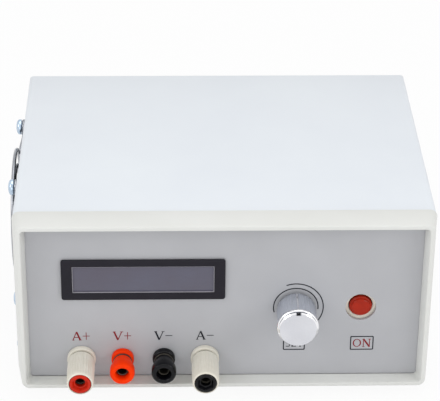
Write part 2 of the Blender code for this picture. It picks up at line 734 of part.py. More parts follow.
def build_display():
    """A frame with a shelf and a neck through the panel, a stepped glass behind it, and the board."""
    half_w, half_h = DISPLAY_FRAME_WIDTH / 2, DISPLAY_FRAME_HEIGHT / 2
    face = PANEL_FRONT - GAP - DISPLAY_FRAME_PROUD
    shelf = PANEL_FRONT - GAP
    neck_rear = PANEL_REAR + GAP
    neck_w, neck_h = half_w - DISPLAY_FRAME_SHELF, half_h - DISPLAY_FRAME_SHELF
    window_w, window_h = DISPLAY_WINDOW_WIDTH / 2, DISPLAY_WINDOW_HEIGHT / 2
    edge = DISPLAY_FRAME_PROUD / 2
    corner = DISPLAY_FRAME_CORNER / 3
    outer = display_outline(half_w, half_h)
    neck = display_outline(neck_w, neck_h)
    add_loft("lcd_frame", [
        (neck, neck_rear), (neck, shelf), (outer, shelf), (outer, face + edge),
        (display_outline(half_w - edge, half_h - edge), face),
        (display_outline(window_w + edge, window_h + edge, corner), face),
        (display_outline(window_w, window_h, corner), neck_rear),
    ], DISPLAY_BLACK)
    glass_front = neck_rear + GAP
    glass_rear = glass_front + DISPLAY_GLASS_DEPTH
    z = BASE_Z + DISPLAY_Z
    pane = display_outline(window_w - GAP, window_h - GAP, corner)
    add_loft("lcd_glass", [
        (neck, glass_rear), (neck, glass_front), (pane, glass_front), (pane, face + DISPLAY_PANE_SET_BACK),
    ], DISPLAY_GLASS, ring=False)
    board_w, board_h = DISPLAY_BOARD_WIDTH / 2, DISPLAY_BOARD_HEIGHT / 2
    board_front = glass_rear + GAP
    add_box(
        "lcd_board", (DISPLAY_X - board_w, board_front, z - board_h),
        (DISPLAY_X + board_w, board_front + BOARD_THICKNESS, z + board_h), BOARD_GREEN,
    )


def build_encoder():
    """The encoder behind the panel: a case with a threaded bush, a rotor that turns, a shaft and a nut."""
    z = BASE_Z + KNOB_Z
    front, rear = PANEL_REAR + GAP, PANEL_REAR + GAP + ENCODER_DEPTH
    half = ENCODER_SIDE / 2
    body = add_box("encoder_body", (KNOB_X - half, front, z - half), (KNOB_X + half, rear, z + half), STEEL)
    bush = add_cylinder(
        "encoder_bush", ENCODER_BUSH_RADIUS, ENCODER_BUSH_OUT + PANEL_THICKNESS + ENCODER_WALL,
        (KNOB_X, front + ENCODER_WALL / 2, z), FORWARD, sides=16,
    )
    boolean(body, bush, "UNION")
    start = (KNOB_X, rear + ENCODER_WALL, z)
    drill(body, ENCODER_SHAFT_RADIUS + GAP, start, FORWARD, ENCODER_DEPTH * 3, sides=16)
    chamber_front = front + ENCODER_WALL
    chamber_depth = ENCODER_ROTOR_THICKNESS + 2 * GAP
    drill(body, ENCODER_ROTOR_RADIUS + GAP, (KNOB_X, chamber_front, z), REARWARD, chamber_depth, sides=16)
    opening = add_box(
        "encoder_slot", (KNOB_X - half / 2, chamber_front, z - half * 2),
        (KNOB_X + half / 2, chamber_front + chamber_depth, z - half / 2),
    )
    boolean(body, opening)
    rotor_rear = chamber_front + GAP + ENCODER_ROTOR_THICKNESS
    bore = ENCODER_SHAFT_RADIUS + GAP
    add_turned("encoder_rotor", [
        (bore, ENCODER_ROTOR_THICKNESS), (ENCODER_ROTOR_RADIUS, ENCODER_ROTOR_THICKNESS),
        (ENCODER_ROTOR_RADIUS, 0.0), (bore, 0.0),
    ], (KNOB_X, rotor_rear, z), FORWARD, NYLON, steps=16)
    shaft_front = PANEL_FRONT - KNOB_STANDS_OFF - KNOB_BORE_DEPTH + GAP
    add_cylinder(
        "encoder_shaft", ENCODER_SHAFT_RADIUS, rear + ENCODER_SHAFT_TAIL - shaft_front,
        (KNOB_X, rear + ENCODER_SHAFT_TAIL, z), FORWARD, STEEL, sides=16,
    )
    nut = add_extrusion(
        "encoder_nut", regular_outline(6, ENCODER_NUT_RADIUS), ENCODER_NUT_THICKNESS,
        (KNOB_X, PANEL_FRONT - GAP - ENCODER_NUT_THICKNESS / 2, z), FORWARD, ZINC,
    )
    drill(
        nut, ENCODER_BUSH_RADIUS + GAP, (KNOB_X, PANEL_FRONT + ENCODER_NUT_THICKNESS, z), FORWARD,
        ENCODER_NUT_THICKNESS * 4, sides=16,
    )


def build_knob():
    """A fluted body with a pointer line, a plain rim with a groove and a chamfer, and an indicator notch."""
    z = BASE_Z + KNOB_Z
    rear_y = PANEL_FRONT - KNOB_STANDS_OFF
    length = KNOB_FACE_OUT - KNOB_STANDS_OFF
    fluted = length - KNOB_RIM_LENGTH
    knob = add_extrusion(
        "knob", ribbed_outline(KNOB_FLUTES, KNOB_BODY_RADIUS, KNOB_FLUTE_DEPTH), fluted,
        (KNOB_X, rear_y - fluted / 2, z), FORWARD, ALUMINIUM,
    )
    groove = KNOB_RADIUS - KNOB_GROOVE_DEPTH
    head = add_turned("knob_head", [
        (0.0, length), (KNOB_RADIUS - KNOB_CHAMFER, length), (KNOB_RADIUS, length - KNOB_CHAMFER * 0.7),
        (groove, length - KNOB_CHAMFER), (KNOB_RADIUS, length - KNOB_CHAMFER * 1.3),
        (KNOB_RADIUS, fluted), (KNOB_BODY_RADIUS - KNOB_FLUTE_DEPTH, fluted - KNOB_CHAMFER / 2),
        (0.0, fluted - KNOB_CHAMFER / 2),
    ], (KNOB_X, rear_y, z), FORWARD, steps=KNOB_FLUTES)
    boolean(knob, head, "UNION")
    start = rear_y + KNOB_STANDS_OFF / 2
    bores = ((KNOB_POCKET_RADIUS, ENCODER_BUSH_OUT), (ENCODER_SHAFT_RADIUS + GAP, KNOB_BORE_DEPTH))
    for radius, depth in bores:
        drill(knob, radius, (KNOB_X, start, z), FORWARD, KNOB_STANDS_OFF / 2 + depth, sides=16)
    face_y = PANEL_FRONT - KNOB_FACE_OUT
    half, depth = KNOB_INDICATOR_WIDTH / 2, KNOB_INDICATOR_DEPTH
    notch = add_box(
        "knob_notch", (KNOB_X - half, face_y - depth, z + KNOB_RADIUS - KNOB_INDICATOR_LENGTH),
        (KNOB_X + half, face_y + depth, z + KNOB_RADIUS * 1.1),
    )
    boolean(knob, notch)
    pointer = add_box(
        "knob_pointer",
        (KNOB_X - KNOB_POINTER_WIDTH / 2, face_y + KNOB_CHAMFER, z + KNOB_BODY_RADIUS - KNOB_POINTER_DEPTH),
        (KNOB_X + KNOB_POINTER_WIDTH / 2, start, z + KNOB_RADIUS * 1.1),
    )
    return boolean(knob, pointer)


def build_button():
    """A ring behind the panel's hole, the cap that slides in it, and the switch body behind."""
    place = (BUTTON_X, PANEL_REAR, BASE_Z + BUTTON_Z)
    bore = BUTTON_CAP_RADIUS + GAP
    ring_rear = -GAP - BUTTON_RING_THICKNESS
    edge = BUTTON_EDGE
    add_turned("button_ring", [
        (bore + edge, -GAP), (BUTTON_RING_RADIUS, -GAP), (BUTTON_RING_RADIUS, ring_rear), (bore, ring_rear),
        (bore, -GAP - edge),
    ], place, FORWARD, CREAM_PLASTIC, steps=28)
    face = PANEL_THICKNESS + BUTTON_CAP_PROUD
    shoulder = face - BUTTON_DISC_STEP
    rear = face - BUTTON_CAP_LENGTH
    add_turned("button_cap", [
        (0.0, face), (BUTTON_DISC_RADIUS - edge, face), (BUTTON_DISC_RADIUS, face - edge),
        (BUTTON_DISC_RADIUS, shoulder), (BUTTON_CAP_RADIUS - edge, shoulder),
        (BUTTON_CAP_RADIUS, shoulder - edge), (BUTTON_CAP_RADIUS, rear), (0.0, rear),
    ], place, FORWARD, RED_PLASTIC, steps=28)
    front = ring_rear - GAP
    chamber = rear - BUTTON_TRAVEL - GAP
    add_turned("button_housing", [
        (bore, front), (BUTTON_HOUSING_RADIUS, front), (BUTTON_HOUSING_RADIUS, -BUTTON_HOUSING_DEPTH),
        (0.0, -BUTTON_HOUSING_DEPTH), (0.0, chamber), (bore, chamber),
    ], place, FORWARD, SWITCH_BLACK, steps=16)


def post_places():
    """Name, x and stud radius of each post, from the left."""
    first = POSTS_X - 1.5 * POST_PITCH
    names = (("current_plus", LARGE_STUD_RADIUS), ("voltage_plus", SMALL_STUD_RADIUS),
             ("voltage_minus", SMALL_STUD_RADIUS), ("current_minus", LARGE_STUD_RADIUS))
    return [(name, first + i * POST_PITCH, stud) for i, (name, stud) in enumerate(names)]


def build_stud(name, x, radius, front_out):
    """A hollow stud, open at the front for a plug, from inside the cap to behind the panel."""
    tail = -PANEL_THICKNESS - POST_TAIL
    bore_end = front_out - STUD_BORE_DEPTH
    add_turned(f"{name}_stud", [
        (STUD_BORE_RADIUS, front_out), (radius - POST_EDGE, front_out), (radius, front_out - POST_EDGE),
        (radius, tail), (0.0, tail), (0.0, bore_end), (STUD_BORE_RADIUS, bore_end),
    ], (x, PANEL_FRONT, BASE_Z + POST_Z), FORWARD, NICKEL, steps=14)


def build_post_hardware(name, x, stud, collar_radius, collar_length, dome, plastic):
    """The collar and washer on the panel's front, and the nut behind it. The collar's front is domed."""
    place = (x, PANEL_FRONT, BASE_Z + POST_Z)
    bore = stud + GAP
    front = GAP + collar_length
    add_turned(f"{name}_collar", [
        (bore, front), (collar_radius - dome, front), (collar_radius - dome * 0.3, front - dome * 0.3),
        (collar_radius, front - dome), (collar_radius, GAP), (bore, GAP),
    ], place, FORWARD, plastic, steps=16)
    washer = front + GAP
    washer_radius = collar_radius - POST_WASHER_INSET
    add_turned(f"{name}_washer", [
        (bore, washer + POST_WASHER_THICKNESS), (washer_radius, washer + POST_WASHER_THICKNESS),
        (washer_radius, washer), (bore, washer),
    ], place, FORWARD, NICKEL, steps=14)
    nut = add_extrusion(
        f"{name}_nut", regular_outline(6, stud * POST_NUT_RATIO), POST_NUT_THICKNESS,
        (x, PANEL_REAR + GAP + POST_NUT_THICKNESS / 2, BASE_Z + POST_Z), FORWARD, NICKEL,
    )
    start = (x, PANEL_REAR + POST_NUT_THICKNESS * 3, BASE_Z + POST_Z)
    drill(nut, bore, start, FORWARD, POST_NUT_THICKNESS * 4, sides=12)
    return washer + POST_WASHER_THICKNESS + GAP


def build_large_post(name, x, end_plastic):
    """Ribbed cap with a coloured insert that has a hexagonal recess round the jack hole."""
    z = BASE_Z + POST_Z
    rear = build_post_hardware(
        name, x, LARGE_STUD_RADIUS, LARGE_COLLAR_RADIUS, LARGE_COLLAR_LENGTH, LARGE_COLLAR_DOME, CREAM_PLASTIC
    )
    length = LARGE_CAP_OUT - rear
    edge = LARGE_CAP_EDGE
    cap = add_extrusion(
        f"{name}_cap", ribbed_outline(LARGE_CAP_RIBS, LARGE_CAP_RADIUS, LARGE_CAP_RIB_DEPTH), length,
        (x, PANEL_FRONT - rear - length / 2, z), FORWARD, CREAM_PLASTIC,
    )
    envelope = add_turned(f"{name}_envelope", [
        (0.0, LARGE_CAP_OUT), (LARGE_CAP_RADIUS - edge, LARGE_CAP_OUT),
        (LARGE_CAP_RADIUS, LARGE_CAP_OUT - edge), (LARGE_CAP_RADIUS, rear + edge),
        (LARGE_CAP_RADIUS - edge / 2, rear), (0.0, rear),
    ], (x, PANEL_FRONT, z), FORWARD, steps=LARGE_CAP_RIBS * 2)
    boolean(cap, envelope, "INTERSECT")
    start = PANEL_FRONT - rear + GAP
    drill(cap, LARGE_STUD_RADIUS + GAP, (x, start, z), FORWARD, length * 2, sides=16)
    pocket_rear = LARGE_CAP_OUT - LARGE_INSERT_DEPTH - GAP
    drill(cap, LARGE_INSERT_RADIUS + GAP, (x, PANEL_FRONT - pocket_rear, z), FORWARD, length, sides=24)
    insert_rear = LARGE_CAP_OUT - LARGE_INSERT_DEPTH
    insert_front = LARGE_CAP_OUT + LARGE_INSERT_PROUD
    insert = add_turned(f"{name}_insert", [
        (JACK_HOLE_RADIUS, insert_front), (LARGE_INSERT_RADIUS - edge / 2, insert_front),
        (LARGE_INSERT_RADIUS, insert_front - edge / 2), (LARGE_INSERT_RADIUS, insert_rear),
        (JACK_HOLE_RADIUS, insert_rear),
    ], (x, PANEL_FRONT, z), FORWARD, end_plastic, steps=20)
    hexagon = add_extrusion(
        f"{name}_hexagon", regular_outline(6, LARGE_HEX_RADIUS), LARGE_HEX_DEPTH * 2,
        (x, PANEL_FRONT - insert_front, z), FORWARD,
    )
    boolean(insert, hexagon)
    build_stud(name, x, LARGE_STUD_RADIUS, LARGE_CAP_OUT - LARGE_STUD_SET_BACK - 2 * GAP)


def build_small_post(name, x, plastic):
    """A cap with a waist, a thicker head and a recess round the jack hole."""
    rear = build_post_hardware(
        name, x, SMALL_STUD_RADIUS, SMALL_COLLAR_RADIUS, SMALL_COLLAR_LENGTH, POST_EDGE, plastic
    )
    edge = SMALL_CAP_EDGE
    bore = SMALL_STUD_RADIUS + GAP
    front = SMALL_CAP_OUT
    head_rear = front - SMALL_HEAD_LENGTH
    add_turned(f"{name}_cap", [
        (bore, front), (SMALL_CAP_RADIUS - edge, front), (SMALL_CAP_RADIUS, front - edge),
        (SMALL_CAP_RADIUS, head_rear + edge), (SMALL_CAP_RADIUS - edge, head_rear),
        (SMALL_WAIST_RADIUS, head_rear - edge), (SMALL_WAIST_RADIUS, rear), (bore, rear),
    ], (x, PANEL_FRONT, BASE_Z + POST_Z), FORWARD, plastic, steps=20)
    build_stud(name, x, SMALL_STUD_RADIUS, front - SMALL_STUD_SET_BACK)


def fan_screw_places():
    half = FAN_HOLE_PITCH / 2
    return [(FAN_Y + y * half, BASE_Z + FAN_Z + z * half) for y in (-1, 1) for z in (-1, 1)]


def build_fan():
    """A square frame with a round duct and spokes to a motor seat, and a rotor with swept, pitched blades."""
    z = BASE_Z + FAN_Z
    outer_x = GAP - COVER_INNER_HALF
    inner_x = outer_x + FAN_THICKNESS
    half = FAN_SIDE / 2
    low, high = (outer_x, FAN_Y - half, z - half), (inner_x, FAN_Y + half, z + half)
    frame = add_box("fan_frame", low, high, FAN_BLACK)
    start, through = inner_x + FAN_THICKNESS / 4, FAN_THICKNESS * 1.5
    drill(frame, FAN_DUCT_RADIUS, (start, FAN_Y, z), LEFTWARD, through, sides=40)
    for y, screw_z in fan_screw_places():
        drill(frame, FAN_SCREW_HOLE, (start, y, screw_z), LEFTWARD, through, sides=12)
    seat = add_cylinder("fan_motor_seat", FAN_HUB_RADIUS, FAN_SPOKE_DEPTH, (inner_x, FAN_Y, z), LEFTWARD)
    spoke_start, spoke_end = FAN_HUB_RADIUS / 2, FAN_DUCT_RADIUS + FAN_HUB_EDGE
    spoke_middle = (spoke_start + spoke_end) / 2
    half_size = Vector((FAN_SPOKE_DEPTH / 2, (spoke_end - spoke_start) / 2, FAN_SPOKE_WIDTH / 2))
    for spoke in range(FAN_SPOKES):
        angle = math.pi / 2 + spoke * 2 * math.pi / FAN_SPOKES
        bar = add_box(f"fan_spoke_{spoke}", -half_size, half_size)
        bar.rotation_euler = (angle, 0.0, 0.0)
        around = Vector((0.0, math.cos(angle), math.sin(angle))) * spoke_middle
        bar.location = Vector((inner_x - FAN_SPOKE_DEPTH / 2, FAN_Y, z)) + around
        boolean(seat, bar, "UNION")
    boolean(frame, seat, "UNION")
    spindle = add_cylinder(
        "fan_spindle", FAN_SPINDLE_RADIUS, FAN_THICKNESS * 0.6, (inner_x - FAN_SPOKE_DEPTH / 2, FAN_Y, z),
        LEFTWARD, sides=12,
    )
    boolean(frame, spindle, "UNION")
    build_fan_rotor(outer_x, inner_x - FAN_SPOKE_DEPTH)


def build_fan_rotor(outer_x, seat_x):
    """The cup of the hub, and blades lofted from a steep root to a flatter, swept tip."""
    z = BASE_Z + FAN_Z
    hub_front = outer_x + GAP * 3
    hub_rear = seat_x - GAP
    length = hub_rear - hub_front
    bore = FAN_SPINDLE_RADIUS + GAP
    bore_depth = FAN_THICKNESS * 0.6
    rotor = add_turned("fan_rotor", [
        (0.0, length), (FAN_HUB_RADIUS - FAN_HUB_EDGE, length), (FAN_HUB_RADIUS, length - FAN_HUB_EDGE),
        (FAN_HUB_RADIUS, 0.0), (bore, 0.0), (bore, bore_depth), (0.0, bore_depth),
    ], (hub_rear, FAN_Y, z), LEFTWARD, FAN_BLACK, steps=24)
    for blade in range(FAN_BLADES):
        turn = 2 * math.pi * blade / FAN_BLADES
        boolean(rotor, add_blade(f"fan_blade_{blade}", turn, (hub_front + hub_rear) / 2, z), "UNION")
    return rotor


def add_blade(name, turn, middle_x, z):
    """One blade from inside the hub to the tip. Its pitch falls and its sweep grows with the radius."""
    tip = FAN_DUCT_RADIUS - FAN_BLADE_TIP_GAP
    root = FAN_HUB_RADIUS - FAN_HUB_EDGE * 1.5
    bm = bmesh.new()
    rings = []
    for station in range(FAN_BLADE_STATIONS + 1):
        share = station / FAN_BLADE_STATIONS
        radius = root + (tip - root) * share
        pitch = FAN_BLADE_ROOT_PITCH + (FAN_BLADE_TIP_PITCH - FAN_BLADE_ROOT_PITCH) * share
        sweep = FAN_BLADE_SWEEP * share
        half_axial = FAN_BLADE_LENGTH / 2
        half_around = half_axial / math.tan(pitch)
        ring = []
        for axial, side in ((-1, -1), (1, -1), (1, 1), (-1, 1)):
            around = axial * half_around + side * FAN_BLADE_THICKNESS / 2
            angle = turn + sweep + around / radius
            place = (axial * half_axial, radius * math.cos(angle), radius * math.sin(angle))
            ring.append(bm.verts.new(place))
        rings.append(ring)
    for first, second in zip(rings, rings[1:]):
        for i in range(4):
            j = (i + 1) % 4
            bm.faces.new((first[i], first[j], second[j], second[i]))
    bm.faces.new(rings[0])
    bm.faces.new(rings[-1])
    return add_object(name, mesh_from(name, bm), (middle_x, FAN_Y, z))


def build_guard():
    """A wire finger guard: concentric rings on four legs, each leg ending in an eye under a screw."""
    z = BASE_Z + FAN_Z
    wall_x = -COVER_HALF - GAP
    wire_x = wall_x - GUARD_WIRE_RADIUS
    ring_x = wire_x - GUARD_DOME
    guard = None
    for ring in range(GUARD_RINGS):
        sides = GUARD_RING_SIDES + ring * GUARD_RING_MORE_SIDES
        outline = regular_outline(sides, GUARD_RING_PITCH * (ring + 1))
        points = [(ring_x, FAN_Y + y, z + v) for y, v in outline]
        if guard is None:
            guard = add_wire("fan_guard", points, GUARD_WIRE_RADIUS, CHROME, closed=True)
        else:
            boolean(guard, add_wire(f"guard_ring_{ring}", points, GUARD_WIRE_RADIUS, closed=True), "UNION")
    inner, outer = GUARD_RING_PITCH * 0.9, GUARD_RING_PITCH * GUARD_RINGS
    for number, (y, screw_z) in enumerate(fan_screw_places(), 1):
        way = Vector((0.0, y - FAN_Y, screw_z - z)).normalized()
        reach = math.hypot(y - FAN_Y, screw_z - z) - GUARD_EYE_RADIUS
        centre = Vector((0.0, FAN_Y, z))
        leg_x = ring_x + GUARD_WIRE_RADIUS * 1.3
        points = [
            centre + way * inner + Vector((leg_x, 0.0, 0.0)),
            centre + way * (outer + GUARD_WIRE_RADIUS) + Vector((leg_x, 0.0, 0.0)),
            centre + way * (reach - GUARD_WIRE_RADIUS) + Vector((wire_x, 0.0, 0.0)),
            centre + way * (reach + GUARD_WIRE_RADIUS) + Vector((wire_x, 0.0, 0.0)),
        ]
        boolean(guard, add_wire(f"guard_leg_{number}", points, GUARD_WIRE_RADIUS), "UNION")
        outline = regular_outline(GUARD_EYE_SIDES, GUARD_EYE_RADIUS)
        eye = [(wire_x, y + a, screw_z + b) for a, b in outline]
        boolean(guard, add_wire(f"guard_eye_{number}", eye, GUARD_WIRE_RADIUS, closed=True), "UNION")
        seat_x = wall_x - 2 * GUARD_WIRE_RADIUS - GAP
        add_pan_screw(
            f"guard_screw_{number}", GUARD_SCREW_SHANK, GUARD_SCREW_HEAD, GUARD_SCREW_HEAD_HEIGHT,
            GUARD_SCREW_LENGTH, (seat_x, y, screw_z), LEFTWARD, ZINC,
        )
    return guard


def build_power_stage():
    """The board on its bosses, the finned heat sink on it, two transistors and the shunt."""
    low, high = (BOARD_LEFT, BOARD_FRONT, BOARD_LOW), (BOARD_RIGHT, BOARD_REAR, BOARD_TOP)
    add_box("main_board", low, high, BOARD_GREEN)
    build_heat_sink()
    for number, side in enumerate((-1, 1), 1):
        build_transistor(f"power_transistor_{number}", SINK_X + side * TRANSISTOR_PITCH / 2)
    build_shunt()


def build_heat_sink():
    """An extrusion: an upright base plate with fins that reach forward, open along the fan's draught."""
    low, high = BOARD_TOP + GAP, BOARD_TOP + GAP + SINK_HEIGHT
    rear = SINK_BASE_FRONT + SINK_BASE_THICKNESS
    tip = SINK_BASE_FRONT - SINK_FIN_DEPTH
    pitch = (SINK_HEIGHT - SINK_FIN_THICKNESS) / (SINK_FINS - 1)
    outline = [(low, rear), (high, rear)]
    for fin in reversed(range(SINK_FINS)):
        fin_low = low + fin * pitch
        if fin < SINK_FINS - 1:
            outline.append((fin_low + SINK_FIN_THICKNESS, SINK_BASE_FRONT))
        outline += [(fin_low + SINK_FIN_THICKNESS, tip), (fin_low, tip)]
        if fin:
            outline.append((fin_low, SINK_BASE_FRONT))
    turned = [(-z, y) for z, y in outline]
    return add_extrusion("heat_sink", turned, SINK_LENGTH, (SINK_X, 0.0, 0.0), RIGHTWARD, BARE_ALUMINIUM)


def build_transistor(name, x):
    """A flat power package on the sink's rear face, with three legs down to the board."""
    front = SINK_BASE_FRONT + SINK_BASE_THICKNESS + GAP
    rear = front + TRANSISTOR_THICKNESS
    low = BOARD_TOP + TRANSISTOR_LEAD
    half = TRANSISTOR_WIDTH / 2
    body = add_box(
        name, (x - half, front, low), (x + half, rear, low + TRANSISTOR_HEIGHT), EPOXY, bevel=TRANSISTOR_EDGE
    )
    leg_y = (front + rear) / 2
    leg_half = Vector((LEAD_WIDTH / 2, LEAD_THICKNESS / 2, 0.0))
    for leg in (-1, 0, 1):
        foot = Vector((x + leg * LEAD_PITCH, leg_y, BOARD_TOP + GAP))
        head = Vector((x + leg * LEAD_PITCH, leg_y, low + 2 * TRANSISTOR_EDGE))
        bar = add_box(f"{name}_leg_{leg + 1}", foot - leg_half, head + leg_half)
        boolean(body, bar, "UNION")
    return body


def build_shunt():
    """A bent manganin wire that stands on the board."""
    y = BOARD_FRONT + SHUNT_BEHIND_EDGE
    middle = BOARD_LEFT + SHUNT_FROM_BOARD_SIDE
    left, right = middle - SHUNT_LENGTH / 2, middle + SHUNT_LENGTH / 2
    low, high = BOARD_TOP + GAP, BOARD_TOP + SHUNT_HEIGHT
    bend = SHUNT_BEND
    knee = bend * 0.3
    points = [
        (left, y, low), (left, y, high - bend), (left + knee, y, high - knee), (left + bend, y, high),
        (right - bend, y, high), (right - knee, y, high - knee), (right, y, high - bend), (right, y, low),
    ]
    return add_wire("current_shunt", points, SHUNT_RADIUS, MANGANIN, bevel_resolution=2)


def build_rear_sockets():
    z = BASE_Z + REAR_SOCKET_Z
    seat = REAR_FRONT_FACE + REAR_SHEET + GAP
    edge = DC_FLANGE_EDGE
    front = DC_FLANGE_THICKNESS
    add_turned("dc_jack", [
        (DC_BORE_RADIUS, front), (DC_FLANGE_RADIUS - edge, front), (DC_FLANGE_RADIUS, front - edge),
        (DC_FLANGE_RADIUS, 0.0), (DC_BARREL_RADIUS, 0.0), (DC_BARREL_RADIUS, -DC_BARREL_LENGTH),
        (0.0, -DC_BARREL_LENGTH),
        (0.0, front - edge), (DC_PIN_RADIUS, front - edge * 2), (DC_PIN_RADIUS, front - DC_BORE_DEPTH),
        (DC_BORE_RADIUS, front - DC_BORE_DEPTH),
    ], (JACK_X, seat, z), REARWARD, SOCKET_BLACK, steps=16)
    half_w, half_h = SOCKET_WIDTH / 2, SOCKET_HEIGHT / 2
    rear = REAR_FRONT_FACE + REAR_SHEET + SOCKET_PROUD
    front_y = rear - SOCKET_DEPTH
    socket = add_box(
        "data_socket", (SOCKET_X - half_w, front_y, z - half_h), (SOCKET_X + half_w, rear, z + half_h), STEEL
    )
    wall = SOCKET_WALL
    hollow = add_box(
        "data_socket_hollow", (SOCKET_X - half_w + wall, front_y + wall * 2, z - half_h + wall),
        (SOCKET_X + half_w - wall, rear + wall, z + half_h - wall),
    )
    boolean(socket, hollow)
    tongue_half = SOCKET_WIDTH / 2 - wall * 2
    tongue = add_box(
        "data_socket_tongue", (SOCKET_X - tongue_half, front_y + wall, z - SOCKET_TONGUE_HEIGHT / 2),
        (SOCKET_X + tongue_half, rear - wall, z + SOCKET_TONGUE_HEIGHT / 2),
    )
    boolean(socket, tongue, "UNION")


clear_scene()
PARTS = new_collection("electronic_load")
CUTTERS = new_collection("cutters", hidden=True)
UNIT_FRAME = bpy.data.objects.new("unit_frame", None)
UNIT_FRAME.location = (-UNIT_CENTRE_X, -UNIT_CENTRE_Y, 0.0)
PARTS.objects.link(UNIT_FRAME)

BEZEL_ABS = new_material("bezel_abs", (0.80, 0.80, 0.77), 0.55)
PANEL_PAINT = new_material("panel_paint", (0.45, 0.46, 0.48), 0.5)
COVER_PAINT = new_material("cover_paint", (0.77, 0.80, 0.84), 0.45)
TRAY_PAINT = new_material("tray_paint", (0.74, 0.77, 0.81), 0.5)
RUBBER = new_material("foot_rubber", (0.03, 0.03, 0.03), 0.85)
ZINC = new_material("zinc_plated_steel", (0.72, 0.74, 0.76), 0.3, 1.0)
STEEL = new_material("plated_steel", (0.62, 0.63, 0.64), 0.35, 1.0)
CHROME = new_material("chromed_wire", (0.7, 0.7, 0.72), 0.12, 1.0)
NICKEL = new_material("nickel_plated_brass", (0.7, 0.68, 0.62), 0.25, 1.0)
DISPLAY_BLACK = new_material("display_frame_plastic", (0.025, 0.023, 0.033), 0.4)
DISPLAY_GLASS = new_material("display_glass", (0.15, 0.14, 0.18), 0.15)
BOARD_GREEN = new_material("board_laminate", (0.03, 0.18, 0.08), 0.4)
NYLON = new_material("rotor_nylon", (0.75, 0.73, 0.68), 0.5)
ALUMINIUM = new_material("turned_aluminium", (0.80, 0.81, 0.83), 0.22, 1.0)
BARE_ALUMINIUM = new_material("extruded_aluminium", (0.66, 0.67, 0.69), 0.4, 1.0)
CREAM_PLASTIC = new_material("cream_plastic", (0.67, 0.63, 0.55), 0.45)
RED_PLASTIC = new_material("button_red_plastic", (0.45, 0.03, 0.01), 0.3)
ORANGE_PLASTIC = new_material("post_red_plastic", (1.0, 0.05, 0.0), 0.25)
BLACK_PLASTIC = new_material("post_black_plastic", (0.01, 0.01, 0.012), 0.2)
SWITCH_BLACK = new_material("switch_body_plastic", (0.02, 0.02, 0.02), 0.5)
FAN_BLACK = new_material("fan_plastic", (0.02, 0.02, 0.02), 0.5)
EPOXY = new_material("moulded_epoxy", (0.02, 0.02, 0.022), 0.45)
MANGANIN = new_material("manganin_wire", (0.55, 0.38, 0.26), 0.35, 1.0)
SOCKET_BLACK = new_material("socket_plastic", (0.02, 0.02, 0.02), 0.4)

build_bezel()
build_front_panel()
build_case()
build_display()
build_encoder()
build_knob()
build_button()
POST_X = {name: x for name, x, _ in post_places()}
build_large_post("current_plus", POST_X["current_plus"], ORANGE_PLASTIC)
build_small_post("voltage_plus", POST_X["voltage_plus"], ORANGE_PLASTIC)
build_small_post("voltage_minus", POST_X["voltage_minus"], BLACK_PLASTIC)
build_large_post("current_minus", POST_X["current_minus"], BLACK_PLASTIC)
build_fan()
build_guard()
build_power_stage()
build_rear_sockets()
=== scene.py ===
"""Looks of a bench electronic load: a powder coated steel case with a moulded front and turned fittings.

Every size is in metres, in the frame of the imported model: +Z up, the front faces -Y, +X on the right of
someone who looks at the front. Places are read from the model's own nodes, so each piece sits on its seat.
"""

from __future__ import annotations

import json
import logging
import math
from dataclasses import dataclass, field
from enum import Enum
from typing import Any, Callable, Iterable, Sequence

import bmesh
import bpy
from mathutils import Matrix, Vector

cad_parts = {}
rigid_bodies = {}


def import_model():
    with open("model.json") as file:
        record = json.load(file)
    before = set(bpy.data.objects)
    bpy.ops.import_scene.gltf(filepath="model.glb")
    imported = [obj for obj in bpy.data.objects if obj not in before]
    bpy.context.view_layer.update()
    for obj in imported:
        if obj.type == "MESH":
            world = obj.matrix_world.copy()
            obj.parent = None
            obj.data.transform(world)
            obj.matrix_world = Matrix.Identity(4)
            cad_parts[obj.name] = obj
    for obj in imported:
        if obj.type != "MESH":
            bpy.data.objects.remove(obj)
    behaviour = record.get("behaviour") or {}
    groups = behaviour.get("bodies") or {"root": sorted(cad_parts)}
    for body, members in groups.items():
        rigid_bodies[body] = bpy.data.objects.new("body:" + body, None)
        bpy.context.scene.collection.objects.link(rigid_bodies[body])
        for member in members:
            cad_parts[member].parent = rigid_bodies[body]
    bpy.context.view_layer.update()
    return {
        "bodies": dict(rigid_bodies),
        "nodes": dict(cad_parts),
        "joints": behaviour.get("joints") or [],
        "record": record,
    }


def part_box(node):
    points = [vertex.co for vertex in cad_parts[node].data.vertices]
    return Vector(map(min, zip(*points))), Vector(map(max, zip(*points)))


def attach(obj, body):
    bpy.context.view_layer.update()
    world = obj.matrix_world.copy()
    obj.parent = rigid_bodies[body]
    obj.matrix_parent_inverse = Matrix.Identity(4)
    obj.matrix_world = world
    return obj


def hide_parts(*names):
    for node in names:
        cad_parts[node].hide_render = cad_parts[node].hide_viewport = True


LOG = logging.getLogger("electronic_load")
MM = 0.001
CHASSIS = "chassis"
# Photograph's frame, in pixels
PHOTO_WIDTH = 440
SMOOTH_ANGLE = math.radians(32)
# How far the reflection of a spun face is drawn out across its rings
SPUN_STRETCH = 0.6
# Share of full length that a grain across a drawn surface keeps along it
DRAWN_SHARE = 0.03
# Depth of the bump as a share of the grain's size
BUMP_SHARE = 0.4

Profile = Sequence[tuple[float, float]]
Object = bpy.types.Object


class Facing(Enum):
    """The way that a turned piece's axis points."""

    FRONT = (math.pi / 2, "X")
    LEFT = (-math.pi / 2, "Y")
    RIGHT = (math.pi / 2, "Y")

    def matrix(self, place: Vector) -> Matrix:
        """Gives the matrix that turns a piece drawn along +Z and puts it at a place.

        Args:
            place: Where the piece's own origin goes.

        Returns:
            The matrix for the piece's mesh.
        """
        angle, axis = self.value
        return Matrix.Translation(place) @ Matrix.Rotation(angle, 4, axis)


